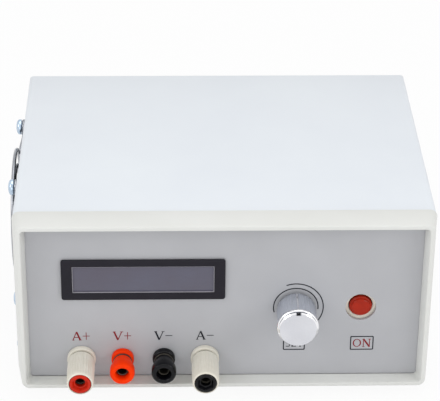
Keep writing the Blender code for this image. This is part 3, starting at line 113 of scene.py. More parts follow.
class Pattern(Enum):
    """How a surface was made, which settles the pattern on it."""

    GRAINED = "grained"
    SPUN = "spun"
    DRAWN = "drawn"
    PLAIN = "plain"


def linear(hex_colour: str) -> tuple[float, float, float, float]:
    """Turns an sRGB hex colour into linear values.

    Args:
        hex_colour: Six hex digits with a leading hash.

    Returns:
        Red, green, blue and an alpha of one.
    """
    channels = [int(hex_colour[i : i + 2], 16) / 255 for i in (1, 3, 5)]
    bright = [c / 12.92 if c <= 0.04045 else ((c + 0.055) / 1.055) ** 2.4 for c in channels]
    return (*bright, 1.0)


def add_node(
    tree: bpy.types.NodeTree,
    kind: str,
    settings: dict[str, Any] | None = None,
    links: dict[str | int, bpy.types.NodeSocket] | None = None,
) -> bpy.types.Node:
    """Adds a node with its settings and links.

    Args:
        tree: The tree that the node goes in.
        kind: Blender's name for the node.
        settings: Values of its inputs, or of its own properties.
        links: The output that feeds each input, by the input's name or number.

    Returns:
        The new node.
    """
    node = tree.nodes.new(kind)
    for name, value in (settings or {}).items():
        if name in node.inputs:
            node.inputs[name].default_value = value
        else:
            setattr(node, name, value)
    for name, source in (links or {}).items():
        tree.links.new(source, node.inputs[name])
    return node


@dataclass(frozen=True)
class Finish:
    """One real finish, with its colour, gloss and the pattern that its making left.

    Attributes:
        name: The material's name, after the real one.
        slot: The record's slot that the finish stands for.
        colour: The main colour, as sRGB hex.
        shade: The colour of the darker patches.
        roughness: The mean roughness.
        metallic: One for bare metal.
        grain_mm: The size of one grain, ring or line.
        relief: How deep the pattern is, from 0 to 1.
        patch_mm: The size of the patches in colour and gloss.
        pattern: How the surface was made.
        ior: Index of refraction of a non-metal.
        coat: The weight of a clear coat.
        centre: The middle of the pattern, for turned faces.
        axis: The axis of a turned or drawn pattern.
        extra: Other shader inputs that are the same all over.
    """

    name: str
    slot: str
    colour: str
    shade: str
    roughness: float
    metallic: float = 0.0
    grain_mm: float = 0.6
    relief: float = 0.15
    patch_mm: float = 18.0
    pattern: Pattern = Pattern.GRAINED
    ior: float = 1.5
    coat: float = 0.0
    centre: tuple[float, float, float] = (0.0, 0.0, 0.0)
    axis: str = "Y"
    extra: tuple[tuple[str, Any], ...] = ()

    def build(self) -> bpy.types.Material:
        """Builds the material's nodes.

        Returns:
            The material.
        """
        material = bpy.data.materials.new(self.name)
        material.use_nodes = True
        material.diffuse_color = linear(self.colour)
        tree = material.node_tree
        shader = tree.nodes["Principled BSDF"]
        shader.inputs["Metallic"].default_value = self.metallic
        if not self.metallic:
            shader.inputs["IOR"].default_value = self.ior
        shader.inputs["Coat Weight"].default_value = self.coat
        for name, value in self.extra:
            shader.inputs[name].default_value = value
        place = add_node(tree, "ShaderNodeTexCoord").outputs["Object"]
        centred = add_node(
            tree, "ShaderNodeMapping", {"Location": tuple(-c for c in self.centre)}, {"Vector": place}
        ).outputs["Vector"]
        patches = add_node(
            tree, "ShaderNodeTexNoise",
            {"Scale": 1.0 / (self.patch_mm * MM), "Detail": 3.0, "Roughness": 0.55}, {"Vector": centred},
        ).outputs["Fac"]
        tone = add_node(
            tree, "ShaderNodeMapRange", {"From Min": 0.3, "From Max": 0.7, "To Min": 0.0, "To Max": 1.0},
            {"Value": patches},
        ).outputs["Result"]
        colour = add_node(tree, "ShaderNodeMix", {"data_type": "RGBA"}, {"Factor": tone})
        colour.inputs[6].default_value = linear(self.shade)
        colour.inputs[7].default_value = linear(self.colour)
        tree.links.new(colour.outputs[2], shader.inputs["Base Color"])
        self._add_relief(tree, shader, centred, patches)
        return material

    def _add_relief(
        self,
        tree: bpy.types.NodeTree,
        shader: bpy.types.Node,
        centred: bpy.types.NodeSocket,
        patches: bpy.types.NodeSocket,
    ) -> None:
        """Adds the pattern's bump and its change of gloss.

        Args:
            tree: The material's tree.
            shader: The surface shader.
            centred: Coordinates from the pattern's middle.
            patches: The slow change over the surface.
        """
        per_metre = 1.0 / (self.grain_mm * MM)
        if self.pattern is Pattern.SPUN:
            source = add_node(
                tree, "ShaderNodeTexWave",
                {"wave_type": "RINGS", "rings_direction": self.axis, "Scale": per_metre / 6.0,
                 "Distortion": 0.0, "Detail": 0.0},
                {"Vector": centred},
            ).outputs["Fac"]
            tangent = add_node(tree, "ShaderNodeTangent", {"direction_type": "RADIAL", "axis": self.axis})
            tree.links.new(tangent.outputs["Tangent"], shader.inputs["Tangent"])
            shader.inputs["Anisotropic"].default_value = SPUN_STRETCH
        elif self.pattern is Pattern.DRAWN:
            along = tuple(DRAWN_SHARE if axis == self.axis else 1.0 for axis in "XYZ")
            stretched = add_node(
                tree, "ShaderNodeMapping", {"Scale": along}, {"Vector": centred}
            ).outputs["Vector"]
            source = add_node(
                tree, "ShaderNodeTexNoise", {"Scale": per_metre, "Detail": 3.0}, {"Vector": stretched}
            ).outputs["Fac"]
        else:
            source = add_node(
                tree, "ShaderNodeTexNoise", {"Scale": per_metre, "Detail": 4.0, "Roughness": 0.6},
                {"Vector": centred},
            ).outputs["Fac"]
        spread = 0.06 if self.pattern is Pattern.GRAINED else 0.03
        gloss = add_node(
            tree, "ShaderNodeMapRange",
            {"To Min": max(0.02, self.roughness - spread), "To Max": min(1.0, self.roughness + spread)},
            {"Value": patches if self.pattern is Pattern.GRAINED else source},
        ).outputs["Result"]
        tree.links.new(gloss, shader.inputs["Roughness"])
        if self.pattern is Pattern.PLAIN:
            return
        bump = add_node(
            tree, "ShaderNodeBump", {"Strength": self.relief, "Distance": self.grain_mm * MM * BUMP_SHARE},
            {"Height": source},
        ).outputs["Normal"]
        tree.links.new(bump, shader.inputs["Normal"])


def deselect_all() -> None:
    """Leaves edit mode and deselects every object."""
    if bpy.context.mode != "OBJECT":
        bpy.ops.object.mode_set(mode="OBJECT")
    bpy.ops.object.select_all(action="DESELECT")


def make_active(obj: Object) -> None:
    """Selects only this object and makes it the active one.

    Args:
        obj: The object.
    """
    deselect_all()
    obj.select_set(True)
    bpy.context.view_layer.objects.active = obj


def enter_edit(select: str = "SELECT") -> bmesh.types.BMesh:
    """Goes into edit mode on the active object.

    Args:
        select: What select_all is given.

    Returns:
        The mesh in edit mode.
    """
    bpy.ops.object.mode_set(mode="EDIT")
    bpy.ops.mesh.select_mode(type="VERT")
    bpy.ops.mesh.select_all(action=select)
    return bmesh.from_edit_mesh(bpy.context.active_object.data)


def pick(mesh: bmesh.types.BMesh, elements: Iterable[Any]) -> None:
    """Selects these elements and nothing else in edit mode.

    Args:
        mesh: The mesh in edit mode.
        elements: Vertices, edges or faces.
    """
    chosen = list(elements)
    modes = {bmesh.types.BMVert: "VERT", bmesh.types.BMEdge: "EDGE", bmesh.types.BMFace: "FACE"}
    bpy.ops.mesh.select_all(action="DESELECT")
    bpy.ops.mesh.select_mode(type=modes[type(chosen[0])])
    for element in chosen:
        element.select_set(True)
    mesh.select_flush_mode()
    bmesh.update_edit_mesh(bpy.context.active_object.data)


def leave_edit() -> None:
    """Merges doubles, points every face outwards and leaves edit mode."""
    bpy.ops.mesh.select_all(action="SELECT")
    bpy.ops.mesh.remove_doubles(threshold=1e-7)
    bpy.ops.mesh.normals_make_consistent(inside=False)
    bpy.ops.object.mode_set(mode="OBJECT")


def apply_modifier(obj: Object, name: str) -> None:
    """Applies one modifier.

    Args:
        obj: The object.
        name: The modifier's name.
    """
    make_active(obj)
    bpy.ops.object.modifier_apply(modifier=name)


def soften(obj: Object, width: float, segments: int = 2, angle: float = 35.0) -> Object:
    """Rounds the sharp edges of a piece and shades it smooth.

    Args:
        obj: The piece.
        width: The rounding, in metres, or 0 for none.
        segments: Faces across the rounding.
        angle: Edges sharper than this many degrees are rounded.

    Returns:
        The piece.
    """
    if width:
        bevel = obj.modifiers.new("Edges", "BEVEL")
        bevel.width = width
        bevel.segments = segments
        bevel.limit_method = "ANGLE"
        bevel.angle_limit = math.radians(angle)
        bevel.harden_normals = False
        apply_modifier(obj, "Edges")
    make_active(obj)
    bpy.ops.object.shade_smooth_by_angle(angle=SMOOTH_ANGLE)
    return obj


def settle(obj: Object, matrix: Matrix | None = None) -> Object:
    """Puts a piece's place in its mesh and its object at the origin.

    Args:
        obj: The piece.
        matrix: Where the mesh goes, on top of where the object is.

    Returns:
        The piece.
    """
    obj.data.transform((matrix or Matrix.Identity(4)) @ obj.matrix_basis)
    obj.matrix_basis = Matrix.Identity(4)
    return obj


def turn(name: str, profile: Profile, sides: int = 48, bored: bool = False) -> Object:
    """Turns a piece round Z: a circle is extruded and resized ring by ring.

    Args:
        name: The piece's name.
        profile: Radius and height of each ring, in order.
        sides: Faces round the piece.
        bored: True where the last ring joins the first, so that a hole goes through.

    Returns:
        The piece, round the world's Z axis.
    """
    deselect_all()
    radius, height = profile[0]
    bpy.ops.mesh.primitive_circle_add(vertices=sides, radius=radius, fill_type="NOTHING")
    obj = bpy.context.active_object
    obj.name = name
    enter_edit()
    bpy.ops.transform.translate(value=(0.0, 0.0, height))
    for (last_radius, last_height), (radius, height) in zip(profile, profile[1:]):
        bpy.ops.mesh.extrude_region_move(TRANSFORM_OT_translate={"value": (0.0, 0.0, height - last_height)})
        share = radius / last_radius
        bpy.ops.transform.resize(value=(share, share, 1.0), center_override=(0.0, 0.0, height))
    mesh = bmesh.from_edit_mesh(obj.data)
    if bored:
        pick(mesh, [edge for edge in mesh.edges if edge.is_boundary])
        bpy.ops.mesh.bridge_edge_loops()
    else:
        bpy.ops.mesh.select_all(action="SELECT")
        bpy.ops.mesh.fill_holes(sides=0)
    leave_edit()
    return obj


def block(name: str, low: Vector, high: Vector) -> Object:
    """Adds a cube primitive that fills a box.

    Args:
        name: The piece's name.
        low: Its lowest corner.
        high: Its highest corner.

    Returns:
        The piece, with its place in its mesh.
    """
    deselect_all()
    low, high = Vector(low), Vector(high)
    bpy.ops.mesh.primitive_cube_add(size=1.0, location=(low + high) / 2, scale=high - low)
    obj = bpy.context.active_object
    obj.name = name
    return settle(obj)


def round_upright_edges(obj: Object, axis: int, radius: float, segments: int = 5) -> Object:
    """Bevels a block's four edges that run along one axis.

    Args:
        obj: The block.
        axis: 0, 1 or 2 for X, Y or Z.
        radius: The corner radius.
        segments: Faces across each corner.

    Returns:
        The block.
    """
    make_active(obj)
    mesh = enter_edit()
    along = [
        edge for edge in mesh.edges
        if abs((edge.verts[0].co - edge.verts[1].co).normalized()[axis]) > 0.99
    ]
    pick(mesh, along)
    bpy.ops.mesh.bevel(offset=radius, segments=segments, affect="EDGES", profile=0.5)
    leave_edit()
    return obj


def cut(obj: Object, tool: Object, operation: str = "DIFFERENCE") -> Object:
    """Applies a Boolean and deletes the tool.

    Args:
        obj: The piece.
        tool: The other solid.
        operation: DIFFERENCE, UNION or INTERSECT.

    Returns:
        The piece.
    """
    modifier = obj.modifiers.new("Cut", "BOOLEAN")
    modifier.operation = operation
    modifier.solver = "EXACT"
    modifier.object = tool
    apply_modifier(obj, "Cut")
    mesh = tool.data
    bpy.data.objects.remove(tool, do_unlink=True)
    bpy.data.meshes.remove(mesh)
    return obj


def join(name: str, parts: Sequence[Object]) -> Object:
    """Joins parts into one object.

    Args:
        name: The new piece's name.
        parts: The parts, of which the first stays.

    Returns:
        The joined piece.
    """
    deselect_all()
    for part in parts:
        part.select_set(True)
    bpy.context.view_layer.objects.active = parts[0]
    bpy.ops.object.join()
    parts[0].name = name
    return parts[0]


def copy_of(obj: Object, name: str) -> Object:
    """Copies an object with a mesh of its own.

    Args:
        obj: The object.
        name: The copy's name.

    Returns:
        The copy.
    """
    twin = obj.copy()
    twin.data = obj.data.copy()
    twin.name = name
    bpy.context.scene.collection.objects.link(twin)
    return twin


def bend_wire(name: str, points: Sequence[Vector], radius: float, closed: bool = False) -> Object:
    """Makes a wire along points, as a mesh.

    Args:
        name: The wire's name.
        points: The wire's middle line.
        radius: The wire's radius.
        closed: True for a loop.

    Returns:
        The wire.
    """
    curve = bpy.data.curves.new(name, "CURVE")
    curve.dimensions = "3D"
    curve.bevel_depth = radius
    curve.bevel_resolution = 4
    curve.use_fill_caps = True
    spline = curve.splines.new("POLY")
    spline.points.add(len(points) - 1)
    for point, place in zip(spline.points, points):
        point.co = (*place, 1.0)
    spline.use_cyclic_u = closed
    obj = bpy.data.objects.new(name, curve)
    bpy.context.scene.collection.objects.link(obj)
    make_active(obj)
    bpy.ops.object.convert(target="MESH")
    obj = bpy.context.active_object
    enter_edit()
    leave_edit()
    bpy.ops.object.shade_smooth_by_angle(angle=SMOOTH_ANGLE)
    return obj


def middle(node: str) -> Vector:
    """Gives the middle of a node's box.

    Args:
        node: The node's name.

    Returns:
        The middle.
    """
    low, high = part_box(node)
    return (low + high) / 2


def measure(node: str) -> tuple[Vector, float, float]:
    """Reads a turned node that points to the front.

    Args:
        node: The node's name.

    Returns:
        The rear end of its axis, its radius and its length.
    """
    low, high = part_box(node)
    centre = (low + high) / 2
    return Vector((centre.x, high.y, centre.z)), (high.x - low.x) / 2, high.y - low.y


class Catalogue:
    """Builds each finish once and hands out its material."""

    def __init__(self) -> None:
        """Starts with no material."""
        self._built: dict[str, bpy.types.Material] = {}

    def material(self, finish: Finish) -> bpy.types.Material:
        """Gives a finish's material.

        Args:
            finish: The finish.

        Returns:
            Its material, built on the first call.
        """
        if finish.name not in self._built:
            self._built[finish.name] = finish.build()
        return self._built[finish.name]

    def dress(self, obj: Object, finish: Finish, body: str, replaced: Sequence[str] = ()) -> Object:
        """Gives a new piece its finish, its body and the nodes it stands for.

        Args:
            obj: The piece.
            finish: Its finish.
            body: The body that it rides on.
            replaced: The nodes that it replaces.

        Returns:
            The piece.
        """
        obj.data.materials.clear()
        obj.data.materials.append(self.material(finish))
        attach(obj, body)
        if replaced:
            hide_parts(*replaced)
        LOG.info("%s: %s, rides on %s", obj.name, finish.name, body)
        return obj

    def seat(self, obj: Object, node: str, finish: Finish, body: str) -> Object:
        """Settles a turned piece on its node's axis and dresses it.

        Args:
            obj: The piece, drawn along +Z from the node's rear end.
            node: The node that it replaces.
            finish: Its finish.
            body: The body that it rides on.

        Returns:
            The piece.
        """
        settle(obj, Facing.FRONT.matrix(measure(node)[0]))
        return self.dress(obj, finish, body, [node])

    def dress_node(self, node: Object, finish: Finish) -> None:
        """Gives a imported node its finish.

        Args:
            node: The node's object.
            finish: Its finish.
        """
        node.data.materials.clear()
        node.data.materials.append(self.material(finish))
        LOG.info("%s: %s, packed node kept", node.name, finish.name)


# Powder coat on steel: a fine even grain, satin, a very pale blue white
POWDER_COAT = Finish(
    "powder_coated_steel", "cover_paint", "#E4E9EE", "#E0E5EB", 0.42, grain_mm=0.9, relief=0.05, patch_mm=60.0
)
TRAY_COAT = Finish(
    "powder_coated_tray", "tray_paint", "#DEE2E6", "#D9DDE2", 0.5, grain_mm=0.9, relief=0.06, patch_mm=40.0
)
# Moulded ABS: warm off-white, satin, with a spark-eroded grain
MOULDED_ABS = Finish(
    "moulded_abs", "bezel_abs", "#E3E4E1", "#DEDFDB", 0.48, grain_mm=0.7, relief=0.06, patch_mm=45.0
)
# Screen printed polyester film on sheet: flat grey, a fine leather-like grain
PANEL_FILM = Finish(
    "printed_panel_film", "panel_paint", "#B7B8BC", "#B2B3B7", 0.45, grain_mm=0.5, relief=0.07, patch_mm=30.0
)
# Less gloss than clear plastic has, for the dark and the strongly coloured mouldings
LOW_SHEEN = (("Specular IOR Level", 0.2),)
DISPLAY_PLASTIC = Finish(
    "black_display_plastic", "display_frame_plastic", "#201E27", "#1B1922", 0.42, grain_mm=0.5, relief=0.08,
    patch_mm=12.0, extra=LOW_SHEEN,
)
# Tinned can of the display: light grey, satin
CAN_STEEL = Finish(
    "tinned_display_can", "display_glass", "#B0AEB6", "#A6A4AC", 0.4, grain_mm=0.5, relief=0.05, patch_mm=5.0
)
# Urea moulding of the large posts and the button's ring, slightly glossy
CREAM_PLASTIC = Finish(
    "cream_urea_plastic", "cream_plastic", "#ECE8DC", "#E3DED0", 0.4, grain_mm=0.5, relief=0.06, patch_mm=6.0
)
ORANGE_PLASTIC = Finish(
    "orange_red_abs", "post_red_plastic", "#FF3C00", "#F83600", 0.35, grain_mm=0.6, relief=0.04, patch_mm=6.0,
    extra=(("Specular IOR Level", 0.08),),
)
DEEP_RED_PLASTIC = Finish(
    "deep_red_abs", "post_red_plastic", "#D2280A", "#C22208", 0.3, grain_mm=0.6, relief=0.04, patch_mm=5.0,
    extra=LOW_SHEEN,
)
BLACK_PLASTIC = Finish(
    "black_abs", "post_black_plastic", "#0D0D12", "#09090D", 0.2, grain_mm=0.6, relief=0.04, patch_mm=6.0,
    extra=LOW_SHEEN,
)
BUTTON_RED = Finish(
    "translucent_red_acrylic", "button_red_plastic", "#AE260C", "#9E2008", 0.25, grain_mm=0.8, relief=0.03,
    patch_mm=4.0, extra=LOW_SHEEN,
)
# Aluminium: the fluted side as turned and washed, the rim cut bright with a diamond tool
ALUMINIUM_SIDE = Finish(
    "fluted_aluminium", "turned_aluminium", "#E0E4EC", "#D8DCE5", 0.35, 1.0, grain_mm=0.5, relief=0.02,
    patch_mm=9.0, pattern=Pattern.DRAWN, axis="Y",
)
BRIGHT_CUT = Finish(
    "diamond_cut_aluminium", "turned_aluminium", "#F6F6F8", "#F0F0F3", 0.16, 1.0, grain_mm=0.5, relief=0.01,
    patch_mm=9.0, pattern=Pattern.PLAIN,
)
# Darker aluminium on the floor of the knob's groove: painted shade in the groove
GROOVE_SHADE = Finish(
    "painted_groove_shade", "turned_aluminium", "#6E727C", "#666A74", 0.5, 1.0, grain_mm=0.5, relief=0.02,
    patch_mm=5.0,
)
# Nickel on turned brass: bright, with a slight change of gloss
NICKEL = Finish(
    "nickel_plated_brass", "nickel_plated_brass", "#CFCBC2", "#BDB9AE", 0.25, 1.0, grain_mm=0.3, relief=0.1,
    patch_mm=4.0,
)
# The same nickel on the studs and small washers, less glossy, darker as painted shade inside the posts
SHADED_NICKEL = Finish(
    "nickel_painted_shade", "nickel_plated_brass", "#6B675F", "#5B5750", 0.5, 1.0, grain_mm=0.3, relief=0.1,
    patch_mm=3.0,
)
# Zinc on steel screws: bright blue-grey with cloudy gloss
ZINC = Finish(
    "bright_zinc_plate", "zinc_plated_steel", "#C6D6E6", "#A9BCD0", 0.24, 1.0, grain_mm=0.8, relief=0.12,
    patch_mm=2.5,
)
STEEL = Finish(
    "tin_plated_steel", "plated_steel", "#B9BBBD", "#A9ABAD", 0.32, 1.0, grain_mm=0.6, relief=0.1,
    patch_mm=5.0, pattern=Pattern.DRAWN, axis="Y",
)
# Chrome of the guard's wire, darker than bright chrome: a painted dark reflection of the wire's surroundings
CHROME = Finish(
    "chromed_wire", "chromed_wire", "#A6A8AD", "#929499", 0.16, 1.0, grain_mm=0.8, relief=0.03, patch_mm=5.0
)
FOOT_RUBBER = Finish(
    "moulded_rubber", "foot_rubber", "#2A2A2B", "#232324", 0.8, grain_mm=0.5, relief=0.2, patch_mm=5.0
)
BOARD = Finish(
    "green_solder_mask", "board_laminate", "#1F5B38", "#184A2D", 0.35, grain_mm=1.2, relief=0.08, patch_mm=9.0
)
NYLON = Finish(
    "natural_nylon", "rotor_nylon", "#DAD7CC", "#CFCBBE", 0.5, grain_mm=0.5, relief=0.05, patch_mm=4.0
)
SWITCH_PLASTIC = Finish(
    "black_switch_nylon", "switch_body_plastic", "#2B2B2D", "#242426", 0.5, grain_mm=0.5, relief=0.08,
    patch_mm=6.0,
)
# Glass filled PBT of the fan: dull black, fine grain
FAN_PLASTIC = Finish(
    "black_fan_pbt", "fan_plastic", "#242427", "#1D1D20", 0.5, grain_mm=0.7, relief=0.12, patch_mm=10.0
)
EPOXY = Finish(
    "moulded_epoxy", "moulded_epoxy", "#232325", "#1B1B1D", 0.45, grain_mm=0.5, relief=0.1, patch_mm=4.0
)
MANGANIN = Finish(
    "manganin_wire", "manganin_wire", "#B98A63", "#A87A55", 0.3, 1.0, grain_mm=0.4, relief=0.06, patch_mm=3.0,
    pattern=Pattern.DRAWN, axis="X",
)
SOCKET_PLASTIC = Finish(
    "black_socket_nylon", "socket_plastic", "#222224", "#1B1B1D", 0.4, grain_mm=0.5, relief=0.08, patch_mm=5.0
)
# Extruded aluminium: long die lines along the fins
EXTRUDED_ALUMINIUM = Finish(
    "extruded_aluminium", "extruded_aluminium", "#C4C7CB", "#B3B6BA", 0.38, 1.0, grain_mm=0.8, relief=0.2,
    patch_mm=12.0, pattern=Pattern.DRAWN, axis="X",
)
DARK_INK = Finish(
    "black_screen_ink", "panel_paint", "#20222A", "#1B1D25", 0.5, grain_mm=0.4, relief=0.05, patch_mm=3.0,
    extra=LOW_SHEEN,
)
RED_INK = Finish(
    "red_screen_ink", "panel_paint", "#8A242A", "#7E1E24", 0.5, grain_mm=0.4, relief=0.05, patch_mm=3.0,
    extra=LOW_SHEEN,
)


@dataclass
class Enclosure:
    """The moulded front, the folded cover and the feet."""

    catalogue: Catalogue
    corner: float = 3.6 * MM
    front_narrowing: float = 2.5 * MM
    rim: float = 2.0 * MM
    wall: float = 2.2 * MM
    edge: float = 0.4 * MM
    opening_side: float = 3.7 * MM
    opening_bottom: float = 2.5 * MM
    opening_top: float = 2.9 * MM
    sheet: float = 1.0 * MM
    bend: float = 1.8 * MM
    vent_count: int = 9
    vent_pitch: float = 6.4 * MM
    vent_width: float = 3.0 * MM
    vent_length: float = 46.0 * MM
    duct_margin: float = 2.0 * MM
    guard_hole: float = 2.2 * MM
    foot_stem: float = 2.0 * MM

    def build(self) -> None:
        """Builds and dresses every piece of the enclosure."""
        self.build_bezel()
        self.build_cover()
        self.build_feet()

    def build_bezel(self) -> Object:
        """Models the bezel from a block: tapered, inset for the rim, and hollowed to the panel.

        Returns:
            The bezel.
        """
        low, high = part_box("front_bezel")
        panel_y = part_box("front_panel")[0].y - 0.3 * MM
        bezel = block("bezel_moulding", low, high)
        round_upright_edges(bezel, 1, self.corner, 7)
        make_active(bezel)
        enter_edit()
        centre = self.pick_end(bezel, min)
        share = 1.0 - 2 * self.front_narrowing / (high.x - low.x)
        bpy.ops.transform.resize(value=(share, 1.0, 1.0), center_override=centre)
        bpy.ops.mesh.bevel(offset=self.edge * 1.6, segments=3, affect="EDGES")
        self.pick_end(bezel, min)
        bpy.ops.mesh.inset(thickness=self.rim - self.edge * 1.6, use_even_offset=True)
        bpy.ops.mesh.extrude_region_move(TRANSFORM_OT_translate={"value": (0.0, panel_y - low.y, 0.0)})
        opening_half = (high.x - low.x) / 2 - self.front_narrowing - self.opening_side
        mesh = bmesh.from_edit_mesh(bezel.data)
        chosen = [vert for vert in mesh.verts if vert.select]
        reach = max(abs(vert.co.x - centre.x) for vert in chosen)
        bottom, top = min(vert.co.z for vert in chosen), max(vert.co.z for vert in chosen)
        new_bottom, new_top = low.z + self.opening_bottom, high.z - self.opening_top
        stretch = (new_top - new_bottom) / (top - bottom)
        bpy.ops.transform.resize(
            value=(opening_half / reach, 1.0, stretch),
            center_override=(centre.x, panel_y, (top + bottom) / 2),
        )
        bpy.ops.transform.translate(value=(0.0, 0.0, (new_top + new_bottom - top - bottom) / 2))
        bpy.ops.mesh.delete(type="ONLY_FACE")
        self.pick_end(bezel, max)
        bpy.ops.mesh.inset(thickness=self.wall, use_even_offset=True)
        bpy.ops.mesh.extrude_region_move(TRANSFORM_OT_translate={"value": (0.0, panel_y - high.y, 0.0)})
        bpy.ops.mesh.delete(type="ONLY_FACE")
        mesh = bmesh.from_edit_mesh(bezel.data)
        pick(mesh, [edge for edge in mesh.edges if edge.is_boundary])
        bpy.ops.mesh.bridge_edge_loops()
        leave_edit()
        soften(bezel, 0.25 * MM, 2, 50.0)
        return self.catalogue.dress(bezel, MOULDED_ABS, CHASSIS, ["front_bezel"])

    def pick_end(self, bezel: Object, furthest: Callable[..., bmesh.types.BMFace]) -> Vector:
        """Selects the bezel's frontmost or rearmost face in edit mode.

        Args:
            bezel: The bezel.
            furthest: min for the front, max for the rear.

        Returns:
            The face's middle.
        """
        mesh = bmesh.from_edit_mesh(bezel.data)
        face = furthest(mesh.faces, key=lambda each: each.calc_center_median().y)
        pick(mesh, [face])
        return face.calc_center_median()

    def build_cover(self) -> Object:
        """Models the folded cover with its fan opening, screw holes and vent slots.

        Returns:
            The cover.
        """
        low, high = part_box("top_cover")
        cover = block("folded_cover", low, high)
        make_active(cover)
        mesh = enter_edit()
        upper = [
            edge for edge in mesh.edges
            if all(vert.co.z > high.z - MM for vert in edge.verts)
            and abs(edge.verts[0].co.y - edge.verts[1].co.y) > MM
        ]
        pick(mesh, upper)
        bpy.ops.mesh.bevel(offset=self.bend, segments=6, affect="EDGES", profile=0.5)
        mesh = bmesh.from_edit_mesh(cover.data)
        open_ends = [face for face in mesh.faces if abs(face.normal.y) > 0.9 or face.normal.z < -0.9]
        pick(mesh, open_ends)
        bpy.ops.mesh.delete(type="FACE")
        bpy.ops.mesh.select_all(action="SELECT")
        bpy.ops.mesh.delete_loose(use_verts=True, use_edges=True, use_faces=False)
        leave_edit()
        shell = cover.modifiers.new("Sheet", "SOLIDIFY")
        shell.thickness = self.sheet
        shell.offset = -1.0
        shell.use_even_offset = True
        apply_modifier(cover, "Sheet")
        self.cut_openings(cover, low, high)
        soften(cover, 0.18 * MM, 2, 50.0)
        return self.catalogue.dress(cover, POWDER_COAT, CHASSIS, ["top_cover"])

    def cut_openings(self, cover: Object, low: Vector, high: Vector) -> None:
        """Cuts the fan opening, the guard's screw holes and the vents.

        Args:
            cover: The cover.
            low: The cover's lowest corner.
            high: Its highest corner.
        """
        fan = middle("fan_frame")
        duct = (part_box("fan_frame")[1].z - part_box("fan_frame")[0].z) / 2 - self.duct_margin
        left = Vector((low.x - 2 * MM, 0.0, 0.0))
        holes = [(Vector((left.x, fan.y, fan.z)), duct, 96)]
        for number in range(1, 5):
            screw = middle(f"guard_screw_{number}")
            holes.append((Vector((left.x, screw.y, screw.z)), self.guard_hole, 24))
        for place, radius, sides in holes:
            tool = turn("hole_tool", [(radius, 0.0), (radius, 6 * MM)], sides)
            cut(cover, settle(tool, Facing.RIGHT.matrix(place)))
        first = fan.z - self.vent_pitch * (self.vent_count - 1) / 2
        for slot in range(self.vent_count):
            z = first + slot * self.vent_pitch
            tool = block(
                "vent_tool",
                Vector((high.x - 3 * MM, fan.y - self.vent_length / 2, z - self.vent_width / 2)),
                Vector((high.x + 3 * MM, fan.y + self.vent_length / 2, z + self.vent_width / 2)),
            )
            cut(cover, round_upright_edges(tool, 0, self.vent_width / 2 * 0.98, 6))

    def build_feet(self) -> None:
        """Models one rubber foot and copies it to the four places."""
        low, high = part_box("foot_1")
        radius = (high.x - low.x) / 2
        tray_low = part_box("base_tray")[0].z
        body_top = tray_low - 0.3 * MM
        profile = [
            (radius * 0.5, 0.0), (radius * 0.8, 0.0), (radius * 0.88, 0.35 * MM),
            (radius, body_top - 0.6 * MM), (radius, body_top), (self.foot_stem, body_top),
            (self.foot_stem, high.z),
        ]
        foot = soften(turn("foot_pattern", profile, 48), 0.2 * MM)
        for number in range(1, 5):
            place = middle(f"foot_{number}")
            piece = copy_of(foot, f"rubber_foot_{number}")
            settle(piece, Matrix.Translation((place.x, place.y, 0.0)))
            self.catalogue.dress(piece, FOOT_RUBBER, CHASSIS, [f"foot_{number}"])
        bpy.data.objects.remove(foot, do_unlink=True)


class ScrewSize(Enum):
    """The radius of the shank, the height of the head and its radius."""

    GUARD = (1.9 * MM, 2.5 * MM, 3.8 * MM)
    CASE = (1.5 * MM, 1.7 * MM, 2.8 * MM)


@dataclass
class PanScrews:
    """Pan head screws with a cross recess, modelled once a size and copied."""

    catalogue: Catalogue
    dome_steps: int = 5

    def build(self) -> None:
        """Builds the guard's four screws and the case's four."""
        self.build_set("guard_screw", Facing.LEFT, ScrewSize.GUARD, [1, 2, 3, 4])
        self.build_set("cover_screw", Facing.LEFT, ScrewSize.CASE, [1, 2])
        self.build_set("cover_screw", Facing.RIGHT, ScrewSize.CASE, [3, 4])

    def build_set(self, nodes: str, facing: Facing, size: ScrewSize, numbers: Sequence[int]) -> None:
        """Builds the screws of one size that face one way.

        Args:
            nodes: What the nodes' names start with.
            facing: The way that the heads face.
            size: Their sizes.
            numbers: The nodes' numbers.
        """
        shank, head, radius = size.value
        low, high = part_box(f"{nodes}_{numbers[0]}")
        length = high.x - low.x - head
        profile = [(shank * 0.7, -length), (shank, -length + 0.6 * MM), (shank, 0.0), (radius, 0.0),
                   (radius, head * 0.35)]
        for step in range(1, self.dome_steps + 1):
            angle = step * math.pi / 2 / (self.dome_steps + 1)
            profile.append((radius * math.cos(angle) ** 0.7, head * (0.35 + 0.65 * math.sin(angle))))
        profile.append((radius * 0.3, head))
        screw = turn("screw_pattern", profile, 36)
        blade, reach = radius * 0.2, radius * 0.58
        for half_x, half_y in ((reach, blade / 2), (blade / 2, reach)):
            slot_low = Vector((-half_x, -half_y, head * 0.45))
            cut(screw, block("slot_tool", slot_low, Vector((half_x, half_y, head * 1.4))))
        soften(screw, 0.1 * MM)
        for number in numbers:
            box_low, box_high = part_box(f"{nodes}_{number}")
            place = (box_low + box_high) / 2
            place.x = box_low.x + head if facing is Facing.LEFT else box_high.x - head
            piece = settle(copy_of(screw, f"pan_{nodes}_{number}"), facing.matrix(place))
            self.catalogue.dress(piece, ZINC, CHASSIS, [f"{nodes}_{number}"])
        bpy.data.objects.remove(screw, do_unlink=True)


